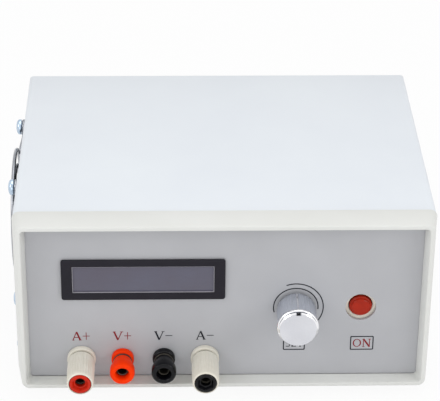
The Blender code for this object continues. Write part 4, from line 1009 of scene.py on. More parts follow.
@dataclass
class Display:
    """The display's frame and its glass."""

    catalogue: Catalogue
    window_width: float = 64.5 * MM
    window_height: float = 13.9 * MM
    shelf: float = 1.0 * MM
    corner: float = 1.2 * MM
    gap: float = 0.3 * MM

    def build(self) -> None:
        """Builds the frame with its window, then the glass."""
        low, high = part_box("lcd_frame")
        shelf_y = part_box("front_panel")[0].y - 0.3 * MM
        frame = block("display_frame", low, Vector((high.x, shelf_y, high.z)))
        round_upright_edges(frame, 1, self.corner, 5)
        inset = Vector((self.shelf, 0.0, self.shelf))
        neck_low = Vector((low.x, shelf_y - 0.2 * MM, low.z)) + inset
        neck = block("neck_tool", neck_low, high - inset)
        cut(frame, round_upright_edges(neck, 1, self.corner * 0.8, 5), "UNION")
        centre = (low + high) / 2
        half = Vector((self.window_width / 2, 0.0, self.window_height / 2))
        window = block(
            "window_tool", Vector((centre.x - half.x, low.y - MM, centre.z - half.z)),
            Vector((centre.x + half.x, high.y + MM, centre.z + half.z)),
        )
        cut(frame, window)
        soften(frame, 0.16 * MM, 2, 50.0)
        self.catalogue.dress(frame, DISPLAY_PLASTIC, CHASSIS, ["lcd_frame"])
        self.build_glass()

    def build_glass(self) -> None:
        """Models the stepped glass cell and the lip of its metal can, which shows round the pane."""
        low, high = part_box("lcd_glass")
        centre = (low + high) / 2
        base_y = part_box("lcd_frame")[1].y + self.gap
        half = Vector((self.window_width / 2, 0.0, self.window_height / 2))
        inset = Vector((self.gap, 0.0, self.gap))
        pane_low, pane_high = centre - half + inset, centre + half - inset
        pane_low.y, pane_high.y = low.y, base_y + MM
        glass = block("display_cell", Vector((low.x, base_y, low.z)), high)
        cut(glass, block("pane_tool", pane_low, pane_high), "UNION")
        soften(glass, 0.12 * MM, 2, 50.0)
        self.catalogue.dress(glass, self.cell_finish(centre), CHASSIS, ["lcd_glass"])
        space = Vector((0.02 * MM, 0.0, 0.02 * MM))
        outer_low, outer_high = centre - half + space, centre + half - space
        outer_low.y, outer_high.y = low.y - 0.4 * MM, low.y + MM
        lip = block("can_lip", outer_low, outer_high)
        opening = Vector((0.0, MM, 0.0))
        cut(lip, block("lip_tool", pane_low - space - opening, pane_high + space + opening))
        self.catalogue.dress(lip, CAN_STEEL, CHASSIS)

    def cell_finish(self, centre: Vector) -> Finish:
        """Gives the finish of an unlit liquid crystal cell: grey violet under clear glass.

        Args:
            centre: The middle of the cell.

        Returns:
            The finish.
        """
        return Finish(
            "unlit_display_cell", "display_glass", "#58586A", "#565160", 0.14, grain_mm=0.6, relief=0.01,
            patch_mm=26.0, pattern=Pattern.PLAIN, ior=1.52, coat=0.2, centre=tuple(centre),
        )


@dataclass
class Knob:
    """The fluted aluminium knob, with a bright cut rim, a spun face and a pointer."""

    catalogue: Catalogue
    flutes: int = 40
    flute_depth: float = 0.14 * MM
    rim_length: float = 3.0 * MM
    chamfer: float = 1.15 * MM
    groove_front: float = 0.7 * MM
    groove_rear: float = 1.4 * MM
    groove_floor: float = 1.0 * MM
    nut_pocket: float = 6.6 * MM
    pocket_depth: float = 3.6 * MM
    shaft_bore: float = 2.7 * MM
    bore_depth: float = 11.0 * MM
    line_half: float = 0.3 * MM
    # The pointer's notch holds a black block as painted shade; the notch sizes below give that block and the
    # notch's room round it
    notch_shade_half: float = 0.85 * MM
    line_depth: float = 0.4 * MM
    slack: float = 0.05 * MM
    notch_slack: float = 0.35 * MM
    notch_shade_inner: float = 1.85 * MM
    notch_shade_outer: float = 1.05 * MM

    def build(self) -> None:
        """Builds the body, the rim with its groove, a dark ring of painted shade on the groove's floor, the
        face, a black block of painted shade in the pointer's notch, and the pointer's line.
        """
        place, radius, length = measure("knob")
        body_radius, face_radius = radius * 0.94, radius - self.chamfer
        fluted = length - self.rim_length
        body = self.turn_fluted(body_radius, fluted)
        cut(body, turn("bore_tool", [
            (self.nut_pocket, -MM), (self.nut_pocket, self.pocket_depth),
            (self.shaft_bore, self.pocket_depth), (self.shaft_bore, self.bore_depth),
        ], 48))
        line_floor = body_radius - self.line_depth
        self.cut_box(body, self.line_half + self.slack, (line_floor, -MM), (radius + MM, length))
        front, rear = length - self.groove_front, length - self.groove_rear
        floor = radius - self.groove_floor
        rim = turn("knob_rim", [
            (face_radius, fluted), (radius - 0.3 * MM, fluted), (radius, fluted + 0.3 * MM),
            (radius, rear - 0.5 * MM), (radius - 0.45 * MM, rear), (floor, rear), (floor, front),
            (radius - 0.55 * MM, front), (face_radius, length),
        ], 96, bored=True)
        # A dark ring on the groove's floor: painted shade in the groove
        groove = turn("knob_groove_shade", [
            (floor, rear), (floor + 0.35 * MM, rear), (floor + 0.35 * MM, front), (floor, front),
        ], 96, bored=True)
        face = turn("knob_face", [
            (face_radius * 0.5, fluted), (face_radius, fluted), (face_radius, length),
            (face_radius * 0.1, length),
        ], 96)
        for piece in (rim, face, groove):
            self.cut_box(
                piece, self.notch_shade_half + self.notch_slack, (radius - self.notch_shade_inner - self.slack, length - MM),
                (radius + MM, length + MM),
            )
        # A black block on the notch's floor: painted shade in the pointer's notch
        notch_shade = self.strip(
            "pointer_notch_shade", self.notch_shade_half, (radius - self.notch_shade_inner, length - MM),
            (radius - self.notch_shade_outer, length - 0.5 * MM),
        )
        line = self.strip("pointer_line", self.line_half, (line_floor, 0.2 * MM), (body_radius, fluted))
        finishes = (
            (body, ALUMINIUM_SIDE), (rim, BRIGHT_CUT), (face, self.finish(place)), (groove, GROOVE_SHADE),
            (notch_shade, BLACK_PLASTIC), (line, BRIGHT_CUT),
        )
        for piece, finish in finishes:
            soften(piece, 0.05 * MM if piece is rim else 0.0, 1, 40.0)
            settle(piece, Facing.FRONT.matrix(place))
            self.catalogue.dress(piece, finish, "knob", ["knob"] if piece is body else [])

    def strip(self, name: str, half: float, low: tuple[float, float], high: tuple[float, float]) -> Object:
        """Models a block along the pointer, before the knob is turned to the front.

        Args:
            name: The piece's name.
            half: Half its width.
            low: Its lowest reach from the axis and its lowest height along it.
            high: Its highest reach and height.

        Returns:
            The block.
        """
        return block(name, Vector((-half, *low)), Vector((half, *high)))

    def cut_box(
        self, piece: Object, half: float, low: tuple[float, float], high: tuple[float, float]
    ) -> None:
        """Cuts a block along the pointer out of a piece.

        Args:
            piece: The piece.
            half: Half the block's width.
            low: Its lowest reach from the axis and its lowest height along it.
            high: Its highest reach and height.
        """
        cut(piece, self.strip("pointer_tool", half, low, high))

    def turn_fluted(self, radius: float, length: float) -> Object:
        """Models the fluted body: a circle whose grooves are drawn in, then extruded.

        Args:
            radius: The body's radius.
            length: The body's length.

        Returns:
            The body.
        """
        deselect_all()
        bpy.ops.mesh.primitive_circle_add(vertices=self.flutes * 4, radius=radius, fill_type="NGON")
        body = bpy.context.active_object
        body.name = "turned_knob"
        mesh = enter_edit()
        mesh.verts.ensure_lookup_table()
        ordered = sorted(mesh.verts, key=lambda vert: math.atan2(vert.co.y, vert.co.x))
        pick(mesh, [vert for i, vert in enumerate(ordered) if i % 4 in (0, 1)])
        share = 1.0 - self.flute_depth / radius
        bpy.ops.transform.resize(value=(share, share, 1.0), center_override=(0.0, 0.0, 0.0))
        bpy.ops.mesh.select_all(action="SELECT")
        bpy.ops.mesh.extrude_region_move(TRANSFORM_OT_translate={"value": (0.0, 0.0, length)})
        leave_edit()
        return body

    def finish(self, centre: Vector) -> Finish:
        """Gives the finish of turned aluminium, with rings round the knob's axis.

        Args:
            centre: A point on the axis.

        Returns:
            The finish.
        """
        return Finish(
            "turned_bright_aluminium", "turned_aluminium", "#DCDDE2", "#D6D7DD", 0.3, 1.0, grain_mm=0.25,
            relief=0.01, patch_mm=7.0, pattern=Pattern.SPUN, axis="Y", centre=tuple(centre),
        )


@dataclass
class PushButton:
    """The push button's cream ring and its red cap."""

    catalogue: Catalogue
    disc_share: float = 0.84
    disc_step: float = 1.1 * MM
    gap: float = 0.3 * MM

    def build(self) -> None:
        """Builds the ring and the cap."""
        _, radius, length = measure("button_cap")
        rim = radius * self.disc_share
        step = length - self.disc_step
        cap = turn("red_button", [
            (radius * 0.4, 0.0), (radius, 0.0), (radius, step - 0.4 * MM), (radius - 0.35 * MM, step),
            (rim, step), (rim - 0.15 * MM, length - 0.35 * MM), (rim - 0.6 * MM, length - 0.05 * MM),
            (rim * 0.45, length), (rim * 0.1, length),
        ], 64)
        soften(cap, 0.15 * MM)
        self.catalogue.seat(cap, "button_cap", BUTTON_RED, "button_cap")
        self.build_ring(radius)

    def build_ring(self, cap_radius: float) -> None:
        """Models the ring in the panel's hole.

        Args:
            cap_radius: The cap's radius.
        """
        _, outer, length = measure("button_ring")
        inner = cap_radius + self.gap
        ring = turn("cream_ring", [
            (inner, 0.0), (outer, 0.0), (outer, length - 0.3 * MM), (outer - 0.3 * MM, length),
            (inner + 0.35 * MM, length), (inner, length - 0.35 * MM),
        ], 64, bored=True)
        soften(ring, 0.1 * MM)
        self.catalogue.seat(ring, "button_ring", CREAM_PLASTIC, CHASSIS)


@dataclass
class BindingPosts:
    """The four binding posts: collars, washers, caps, inserts and hollow studs."""

    catalogue: Catalogue
    ribs: int = 30
    rib_depth: float = 0.22 * MM
    gap: float = 0.3 * MM
    jack_bore: float = 2.05 * MM
    jack_depth: float = 14.0 * MM
    insert_hole: float = 2.3 * MM
    recess_floor: float = 3.2 * MM
    recess_mouth: float = 4.1 * MM
    recess_depth: float = 1.8 * MM
    large_shoulder: float = 0.6 * MM
    small_shoulder: float = 0.9 * MM
    large_bore: float = 3.3 * MM
    pocket: float = 5.2 * MM
    pocket_depth: float = 3.7 * MM
    small_bore: float = 3.1 * MM
    waist: float = 4.35 * MM
    head_length: float = 5.4 * MM
    names: tuple[str, ...] = ("current_plus", "voltage_plus", "voltage_minus", "current_minus")

    def build(self) -> None:
        """Builds every post."""
        for name in self.names:
            plus = name.endswith("plus")
            self.build_stud(name)
            self.build_washer(name)
            if name.startswith("current"):
                self.build_collar(name, CREAM_PLASTIC)
                self.build_ribbed_cap(name)
                self.build_insert(name, DEEP_RED_PLASTIC if plus else BLACK_PLASTIC)
            else:
                self.build_collar(name, ORANGE_PLASTIC if plus else BLACK_PLASTIC)
                self.build_waisted_cap(name, ORANGE_PLASTIC if plus else BLACK_PLASTIC)

    def build_stud(self, name: str) -> None:
        """Models the hollow stud with its blind bore.

        Args:
            name: The post's name.
        """
        _, radius, length = measure(f"{name}_stud")
        bore, depth = self.jack_bore, self.jack_depth
        stud = turn(f"{name}_hollow_stud", [
            (bore * 0.4, length - depth - 0.8 * MM), (bore, length - depth), (bore, length - 0.2 * MM),
            (bore + 0.2 * MM, length), (radius - 0.4 * MM, length), (radius, length - 0.4 * MM),
            (radius, 0.4 * MM), (radius - 0.4 * MM, 0.0), (radius * 0.4, 0.0),
        ], 40)
        soften(stud, 0.0)
        # The stud takes the darker nickel: painted shade inside the post's bore
        self.catalogue.seat(stud, f"{name}_stud", SHADED_NICKEL, CHASSIS)

    def build_washer(self, name: str) -> None:
        """Models the clamp washer.

        Args:
            name: The post's name.
        """
        node = f"{name}_washer"
        _, radius, length = measure(node)
        bore = measure(f"{name}_stud")[1] + self.gap
        profile = [(bore, 0.0), (radius, 0.0), (radius, length), (bore, length)]
        washer = turn(f"{name}_clamp_washer", profile, 48, bored=True)
        soften(washer, 0.12 * MM)
        # The voltage posts' washers take the darker nickel: painted shade in the gap under their caps
        self.catalogue.seat(washer, node, NICKEL if name.startswith("current") else SHADED_NICKEL, node)

    def build_collar(self, name: str, finish: Finish) -> None:
        """Models the insulating collar with its domed shoulder.

        Args:
            name: The post's name.
            finish: The collar's finish.
        """
        node = f"{name}_collar"
        _, radius, length = measure(node)
        bore = measure(f"{name}_stud")[1] + self.gap
        shoulder = self.large_shoulder if name.startswith("current") else self.small_shoulder
        profile = [(bore, 0.0), (radius, 0.0)]
        for step in range(6):
            angle = step * math.pi / 2 / 5
            profile.append((
                radius - shoulder * (1 - math.cos(angle)), length - shoulder + shoulder * math.sin(angle)
            ))
        profile.append((bore, length))
        collar = turn(f"{name}_insulating_collar", profile, 64, bored=True)
        soften(collar, 0.0)
        self.catalogue.seat(collar, node, finish, CHASSIS)

    def build_ribbed_cap(self, name: str) -> None:
        """Models the cream cap: ribs on a slightly tapered body with rounded ends.

        Args:
            name: The post's name.
        """
        node = f"{name}_cap"
        _, radius, length = measure(node)
        sides = self.ribs * 4
        bore, pocket, floor = self.large_bore, self.pocket, length - self.pocket_depth
        cap = turn(f"{name}_ribbed_cap", [
            (radius, 0.6 * MM), (radius, length * 0.35), (radius * 0.99, length * 0.7),
            (radius * 0.975, length - 1.1 * MM), (radius * 0.93, length - 0.4 * MM), (radius * 0.86, length),
            (pocket, length), (pocket, floor), (bore, floor), (bore, 0.0), (radius * 0.95, 0.0),
            (radius * 0.985, 0.2 * MM),
        ], sides, bored=True)
        make_active(cap)
        mesh = enter_edit()
        grooves = []
        for vert in mesh.verts:
            if vert.co.to_2d().length < radius * 0.94 or not 0.5 * MM < vert.co.z < length - 0.8 * MM:
                continue
            step = round(math.atan2(vert.co.y, vert.co.x) / (2 * math.pi) * sides)
            if step % 4 in (0, 1):
                grooves.append(vert)
        pick(mesh, grooves)
        share = 1.0 - self.rib_depth / radius
        bpy.ops.transform.resize(value=(share, share, 1.0), center_override=(0.0, 0.0, 0.0))
        leave_edit()
        soften(cap, 0.0)
        self.catalogue.seat(cap, node, CREAM_PLASTIC, node)

    def build_insert(self, name: str, finish: Finish) -> None:
        """Models the coloured end with a hexagonal recess round the jack hole.

        Args:
            name: The post's name.
            finish: The insert's finish.
        """
        node = f"{name}_insert"
        _, radius, length = measure(node)
        hole = self.insert_hole
        insert = turn(f"{name}_coloured_end", [
            (hole, 0.0), (radius, 0.0), (radius, length - 0.5 * MM), (radius - 0.5 * MM, length),
            (hole, length),
        ], 72, bored=True)
        cut(insert, turn("recess_tool", [
            (self.recess_floor, length - self.recess_depth), (self.recess_mouth, length + 0.4 * MM),
        ], 6))
        soften(insert, 0.12 * MM)
        self.catalogue.seat(insert, node, finish, f"{name}_cap")

    def build_waisted_cap(self, name: str, finish: Finish) -> None:
        """Models the small cap: a waist, a thicker head, and a chamfer round the jack hole.

        Args:
            name: The post's name.
            finish: The cap's finish.
        """
        node = f"{name}_cap"
        _, radius, length = measure(node)
        waist, bore = self.waist, self.small_bore
        head = length - self.head_length
        cap = turn(f"{name}_waisted_cap", [
            (bore, 0.0), (waist, 0.0), (waist, head - 0.5 * MM), (radius - 0.7 * MM, head),
            (radius, head + 0.8 * MM), (radius, length - 1.2 * MM), (radius - 0.3 * MM, length - 0.4 * MM),
            (radius - 0.9 * MM, length), (bore + 0.5 * MM, length), (bore, length - 0.8 * MM),
        ], 64, bored=True)
        soften(cap, 0.15 * MM)
        self.catalogue.seat(cap, node, finish, node)


@dataclass
class FanGuard:
    """The wire guard over the fan."""

    catalogue: Catalogue
    wire: float = 0.9 * MM
    rings: int = 4
    ring_pitch: float = 7.6 * MM
    eye: float = 2.9 * MM

    def build(self) -> None:
        """Builds the rings, the legs and the eyes, and joins them in one piece."""
        low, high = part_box("fan_guard")
        centre = middle("fan_guard")
        wall_wire = high.x - self.wire
        ring_x = low.x + self.wire
        parts = []
        for ring in range(self.rings):
            place = Vector((ring_x, centre.y, centre.z))
            parts.append(self.ring(place, self.ring_pitch * (ring + 1), 64 + 16 * ring))
        for number in range(1, 5):
            screw = middle(f"guard_screw_{number}")
            parts += self.build_leg(Vector((0.0, centre.y, centre.z)), screw, ring_x, wall_wire)
        guard = join("wire_finger_guard", parts)
        soften(guard, 0.0)
        self.catalogue.dress(guard, CHROME, CHASSIS, ["fan_guard"])

    def ring(self, place: Vector, radius: float, sides: int) -> Object:
        """Adds a ring of wire round the fan's direction.

        Args:
            place: Its middle.
            radius: The radius of its middle line.
            sides: Faces round it.

        Returns:
            The ring, with its place in its mesh.
        """
        deselect_all()
        bpy.ops.mesh.primitive_torus_add(
            location=place, rotation=(0.0, math.pi / 2, 0.0), major_radius=radius, minor_radius=self.wire,
            major_segments=sides, minor_segments=12,
        )
        return settle(bpy.context.active_object)

    def build_leg(self, centre: Vector, screw: Vector, ring_x: float, wall_x: float) -> list[Object]:
        """Models one leg, from the inner ring out and down to the wall, and its eye.

        Args:
            centre: The guard's middle, with no x.
            screw: The middle of the leg's screw.
            ring_x: The rings' x.
            wall_x: The x of a wire that lies on the wall.

        Returns:
            The leg and the eye.
        """
        offset = Vector((0.0, screw.y - centre.y, screw.z - centre.z))
        way = offset.normalized()
        reach = offset.length - self.eye
        leg_x = ring_x + self.wire * 1.3
        inner, outer = self.ring_pitch * 0.9, self.ring_pitch * self.rings + self.wire
        drop = reach - self.wire - outer
        points = [centre + way * inner + Vector((leg_x, 0.0, 0.0))]
        for step in range(7):
            share = step / 6
            ease = share * share * (3 - 2 * share)
            x = leg_x + (wall_x - leg_x) * ease
            points.append(centre + way * (outer + drop * share) + Vector((x, 0.0, 0.0)))
        points.append(centre + way * (reach + self.wire) + Vector((wall_x, 0.0, 0.0)))
        leg = bend_wire("guard_leg", points, self.wire)
        return [leg, self.ring(Vector((wall_x, screw.y, screw.z)), self.eye, 32)]


class Glyph(Enum):
    """Serif strokes of each printed character: start, end and thickness, in shares of the height."""

    A = (
        ((0.08, 0.0), (0.46, 1.0), 0.07), ((0.46, 1.0), (0.86, 0.0), 0.14),
        ((0.22, 0.34), (0.72, 0.34), 0.06), ((-0.02, 0.02), (0.24, 0.02), 0.05),
        ((0.68, 0.02), (1.0, 0.02), 0.05),
    )
    V = (
        ((0.06, 1.0), (0.46, 0.0), 0.14), ((0.46, 0.0), (0.86, 1.0), 0.07),
        ((-0.06, 0.98), (0.24, 0.98), 0.05), ((0.7, 0.98), (1.02, 0.98), 0.05),
    )
    PLUS = (((0.1, 0.45), (0.95, 0.45), 0.06), ((0.525, 0.02), (0.525, 0.88), 0.06))
    MINUS = (((0.1, 0.45), (0.95, 0.45), 0.06),)
    S = (
        ((0.18, 0.95), (0.8, 0.95), 0.07), ((0.18, 0.95), (0.18, 0.62), 0.07),
        ((0.16, 0.66), (0.84, 0.36), 0.13), ((0.82, 0.4), (0.82, 0.06), 0.07),
        ((0.18, 0.05), (0.82, 0.05), 0.07),
    )
    E = (
        ((0.2, 0.0), (0.2, 1.0), 0.13), ((0.05, 0.03), (0.86, 0.03), 0.06),
        ((0.05, 0.97), (0.82, 0.97), 0.06), ((0.2, 0.5), (0.66, 0.5), 0.06),
        ((0.84, 0.02), (0.84, 0.26), 0.05), ((0.8, 0.76), (0.8, 0.98), 0.05),
    )
    T = (
        ((0.46, 0.0), (0.46, 1.0), 0.13), ((0.02, 0.97), (0.9, 0.97), 0.06),
        ((0.28, 0.02), (0.64, 0.02), 0.05), ((0.04, 0.74), (0.04, 0.98), 0.05),
        ((0.88, 0.74), (0.88, 0.98), 0.05),
    )
    N = (
        ((0.14, 0.0), (0.14, 1.0), 0.07), ((0.14, 1.0), (0.86, 0.0), 0.15), ((0.86, 0.0), (0.86, 1.0), 0.07),
        ((0.0, 0.02), (0.3, 0.02), 0.05), ((0.0, 0.98), (0.2, 0.98), 0.05), ((0.7, 0.98), (1.02, 0.98), 0.05),
    )


@dataclass
class PanelPrint:
    """What is printed on the panel: terminal marks, two arcs, and boxes that hold ON and SET."""

    catalogue: Catalogue
    ink: float = 0.06 * MM
    line: float = 0.52 * MM
    letter: float = 4.6 * MM
    weight: float = 1.2
    mark_rise: float = 9.6 * MM
    mark_left: float = 4.1 * MM
    sign_step: float = 4.5 * MM
    box_height: float = 7.6 * MM
    on_offset: tuple[float, float] = (1.3 * MM, -19.7 * MM)
    on_width: float = 10.9 * MM
    on_height: float = 4.3 * MM
    o_left: float = 2.25 * MM
    o_half: float = 1.95 * MM
    o_hole: float = 1.35 * MM
    o_stroke: float = 0.28 * MM
    set_offset: tuple[float, float] = (-0.3 * MM, -19.6 * MM)
    set_width: float = 10.2 * MM
    set_height: float = 4.0 * MM
    set_left: float = 4.25 * MM
    set_step: float = 2.95 * MM
    inner_arc: tuple[float, float, float] = (10.2 * MM, -6.0, 195.0)
    outer_arc: tuple[float, float, float] = (12.6 * MM, -34.0, 111.0)
    panel_y: float = field(init=False)

    def __post_init__(self) -> None:
        """Reads the panel's front face."""
        self.panel_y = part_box("front_panel")[0].y

    def build(self) -> None:
        """Prints everything."""
        for name in BindingPosts.names:
            self.print_terminal(name)
        self.print_arcs()
        button = middle("button_cap")
        knob = middle("knob")
        on_place = (button.x + self.on_offset[0], button.z + self.on_offset[1])
        set_place = (knob.x + self.set_offset[0], knob.z + self.set_offset[1])
        self.print_box("on_box", *on_place, self.on_width, self.box_height)
        self.print_box("knob_box", *set_place, self.set_width, self.box_height)
        self.print_on(*on_place)
        self.print_set(*set_place)

    def lay(self, obj: Object, finish: Finish) -> Object:
        """Dresses a printed piece.

        Args:
            obj: The piece.
            finish: Its ink.

        Returns:
            The piece.
        """
        make_active(obj)
        bpy.ops.object.shade_flat()
        return self.catalogue.dress(obj, finish, CHASSIS)

    def stroke(self, start: Vector, end: Vector, width: float) -> Object:
        """Lays one straight stroke of ink.

        Args:
            start: Its start, as x and z.
            end: Its end, as x and z.
            width: Its width.

        Returns:
            The stroke.
        """
        way = Vector((end[0] - start[0], end[1] - start[1]))
        half = way.length / 2
        obj = block(
            "stroke", Vector((-half, -self.ink, -width / 2)), Vector((half, 0.0, width / 2))
        )
        angle = math.atan2(way.y, way.x)
        centre = Vector(((start[0] + end[0]) / 2, self.panel_y, (start[1] + end[1]) / 2))
        return settle(obj, Matrix.Translation(centre) @ Matrix.Rotation(-angle, 4, "Y"))

    def glyph(self, glyph: Glyph, left: float, base: float, height: float, width: float = 0.9) -> Object:
        """Prints one character as strokes united in one solid.

        Args:
            glyph: The character.
            left: Its left edge.
            base: Its base line.
            height: Its height.
            width: Its width as a share of its height.

        Returns:
            The character.
        """
        united = None
        for (x0, z0), (x1, z1), thick in glyph.value:
            start = Vector((left + x0 * height * width, base + z0 * height))
            end = Vector((left + x1 * height * width, base + z1 * height))
            bar = self.stroke(start, end, thick * height * self.weight)
            united = cut(united, bar, "UNION") if united else bar
        return united

    def print_terminal(self, name: str) -> None:
        """Prints a post's unit letter and its sign.

        Args:
            name: The post's name.
        """
        post = middle(f"{name}_stud")
        base = post.z + self.mark_rise
        letter = Glyph.A if name.startswith("current") else Glyph.V
        sign = Glyph.PLUS if name.endswith("plus") else Glyph.MINUS
        left = post.x - self.mark_left
        parts = [
            self.glyph(letter, left, base, self.letter, 0.96),
            self.glyph(sign, left + self.sign_step, base + 0.2 * MM, self.letter, 0.82),
        ]
        ink = RED_INK if name.endswith("plus") else DARK_INK
        self.lay(join(f"{name}_mark", parts), ink)

    def ellipse(self, centre: tuple[float, float], outer: Vector, inner: Vector) -> Object:
        """Prints a ring between two ellipses, as a serif O.

        Args:
            centre: The middle, as x and z.
            outer: Half width and half height outside.
            inner: Half width and half height inside.

        Returns:
            The ring.
        """
        ring = turn("letter_o", [(1.0, 0.0), (1.0, self.ink)], 40)
        hole = turn("hole_o", [(1.0, -self.ink), (1.0, 2 * self.ink)], 40)
        for obj, size in ((ring, outer), (hole, inner)):
            make_active(obj)
            enter_edit()
            bpy.ops.transform.resize(value=(size.x, size.y, 1.0), center_override=(0.0, 0.0, 0.0))
            leave_edit()
            settle(obj, Facing.FRONT.matrix(Vector((centre[0], self.panel_y, centre[1]))))
        return cut(ring, hole)

    def print_on(self, x: float, z: float) -> None:
        """Prints the word ON.

        Args:
            x: The word's middle.
            z: Its middle height.
        """
        height = self.on_height
        letter_o = self.ellipse(
            (x - self.o_left, z), Vector((self.o_half, height / 2)),
            Vector((self.o_hole, height / 2 - self.o_stroke)),
        )
        letter_n = self.glyph(Glyph.N, x + 0.2 * MM, z - height / 2, height, 0.92)
        self.lay(join("on_word", [letter_o, letter_n]), RED_INK)

    def print_set(self, x: float, z: float) -> None:
        """Prints the word SET, most of which the knob hides from the camera.

        Args:
            x: The word's middle.
            z: Its middle height.
        """
        height, step = self.set_height, self.set_step
        letters = [
            self.glyph(glyph, x - self.set_left + number * step, z - height / 2, height, 0.66)
            for number, glyph in enumerate((Glyph.S, Glyph.E, Glyph.T))
        ]
        self.lay(join("set_word", letters), DARK_INK)

    def print_box(self, name: str, x: float, z: float, width: float, height: float) -> None:
        """Prints a thin frame with slightly rounded corners.

        Args:
            name: The piece's name.
            x: Its middle.
            z: Its middle height.
            width: Its outer width.
            height: Its outer height.
        """
        low = Vector((x - width / 2, self.panel_y - self.ink, z - height / 2))
        high = Vector((x + width / 2, self.panel_y, z + height / 2))
        frame = round_upright_edges(block(name, low, high), 1, 0.6 * MM, 4)
        inset = Vector((self.line, 0.0, self.line))
        through = Vector((0.0, MM, 0.0))
        tool = block(f"{name}_tool", low + inset - through, high - inset + through)
        self.lay(cut(frame, round_upright_edges(tool, 1, 0.3 * MM, 4)), DARK_INK)

    def print_arcs(self) -> None:
        """Prints the arc close to the knob and the one further out that shows which way is more."""
        knob = middle("knob")
        self.print_arc("inner_arc", knob, *self.inner_arc)
        self.print_arc("outer_arc", knob, *self.outer_arc)

    def print_arc(self, name: str, centre: Vector, radius: float, start: float, end: float) -> None:
        """Prints an arc: a small face is spun round the knob's axis.

        Args:
            name: The piece's name.
            centre: A point on its axis.
            radius: Its radius.
            start: Its first angle in degrees, from +X towards +Z.
            end: Its last angle in degrees.
        """
        deselect_all()
        bpy.ops.mesh.primitive_plane_add(size=1.0)
        arc = bpy.context.active_object
        arc.name = name
        enter_edit()
        bpy.ops.transform.resize(value=(self.line, self.ink, 1.0), center_override=(0.0, 0.0, 0.0))
        bpy.ops.transform.translate(value=(radius, -self.ink / 2, 0.0))
        bpy.ops.mesh.spin(
            steps=64, angle=math.radians(end - start), center=(0.0, 0.0, 0.0), axis=(0.0, 1.0, 0.0)
        )
        leave_edit()
        place = Matrix.Translation((centre.x, self.panel_y, centre.z))
        settle(arc, place @ Matrix.Rotation(-math.radians(start), 4, "Y"))
        self.lay(arc, DARK_INK)


class PackedNodes:
    """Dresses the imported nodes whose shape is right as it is."""

    FINISHES: dict[str, Finish] = {
        "front_panel": PANEL_FILM,
        "rear_panel": TRAY_COAT,
        "base_tray": TRAY_COAT,
        "lcd_board": BOARD,
        "main_board": BOARD,
        "heat_sink": EXTRUDED_ALUMINIUM,
        "power_transistor_1": EPOXY,
        "power_transistor_2": EPOXY,
        "current_shunt": MANGANIN,
        "encoder_body": STEEL,
        "encoder_rotor": NYLON,
        "encoder_shaft": STEEL,
        "encoder_nut": ZINC,
        "button_housing": SWITCH_PLASTIC,
        "fan_frame": FAN_PLASTIC,
        "fan_rotor": FAN_PLASTIC,
        "dc_jack": SOCKET_PLASTIC,
        "data_socket": STEEL,
    }

    def __init__(self, catalogue: Catalogue, nodes: dict[str, Object]) -> None:
        """Keeps what it dresses from.

        Args:
            catalogue: The materials.
            nodes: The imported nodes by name.
        """
        self.catalogue = catalogue
        self.nodes = nodes

    def build(self) -> None:
        """Dresses each node, the post nuts among them."""
        finishes = dict(self.FINISHES)
        for name in BindingPosts.names:
            finishes[f"{name}_nut"] = NICKEL
        for name, finish in finishes.items():
            self.catalogue.dress_node(self.nodes[name], finish)


class SoftBox(Enum):
    """Each lamp's name, where it hangs, what it faces, the side of its square and its watts."""

    OVERHEAD = ("overhead_box", (0.05, 0.15, 1.1), (0.0, 0.0, 0.05), 0.9, 3.2)
    LEFT = ("left_box", (-0.9, -0.5, 0.7), (0.0, 0.0, 0.05), 0.6, 2.6)
    RIGHT = ("right_box", (0.9, -0.6, 0.6), (0.0, 0.0, 0.05), 0.6, 2.6)
    FRONT = ("front_box", (-0.15, -1.0, 0.12), (0.0, 0.0, 0.02), 0.7, 1.5)

    def hang(self) -> None:
        """Adds the area lamp."""
        name, place, target, size, power = self.value
        light = bpy.data.lights.new(name, "AREA")
        light.shape = "SQUARE"
        light.size = size
        light.energy = power
        lamp = bpy.data.objects.new(name, light)
        bpy.context.scene.collection.objects.link(lamp)
        lamp.location = place
        way = Vector(target) - Vector(place)
        lamp.rotation_euler = way.to_track_quat("-Z", "Y").to_euler()


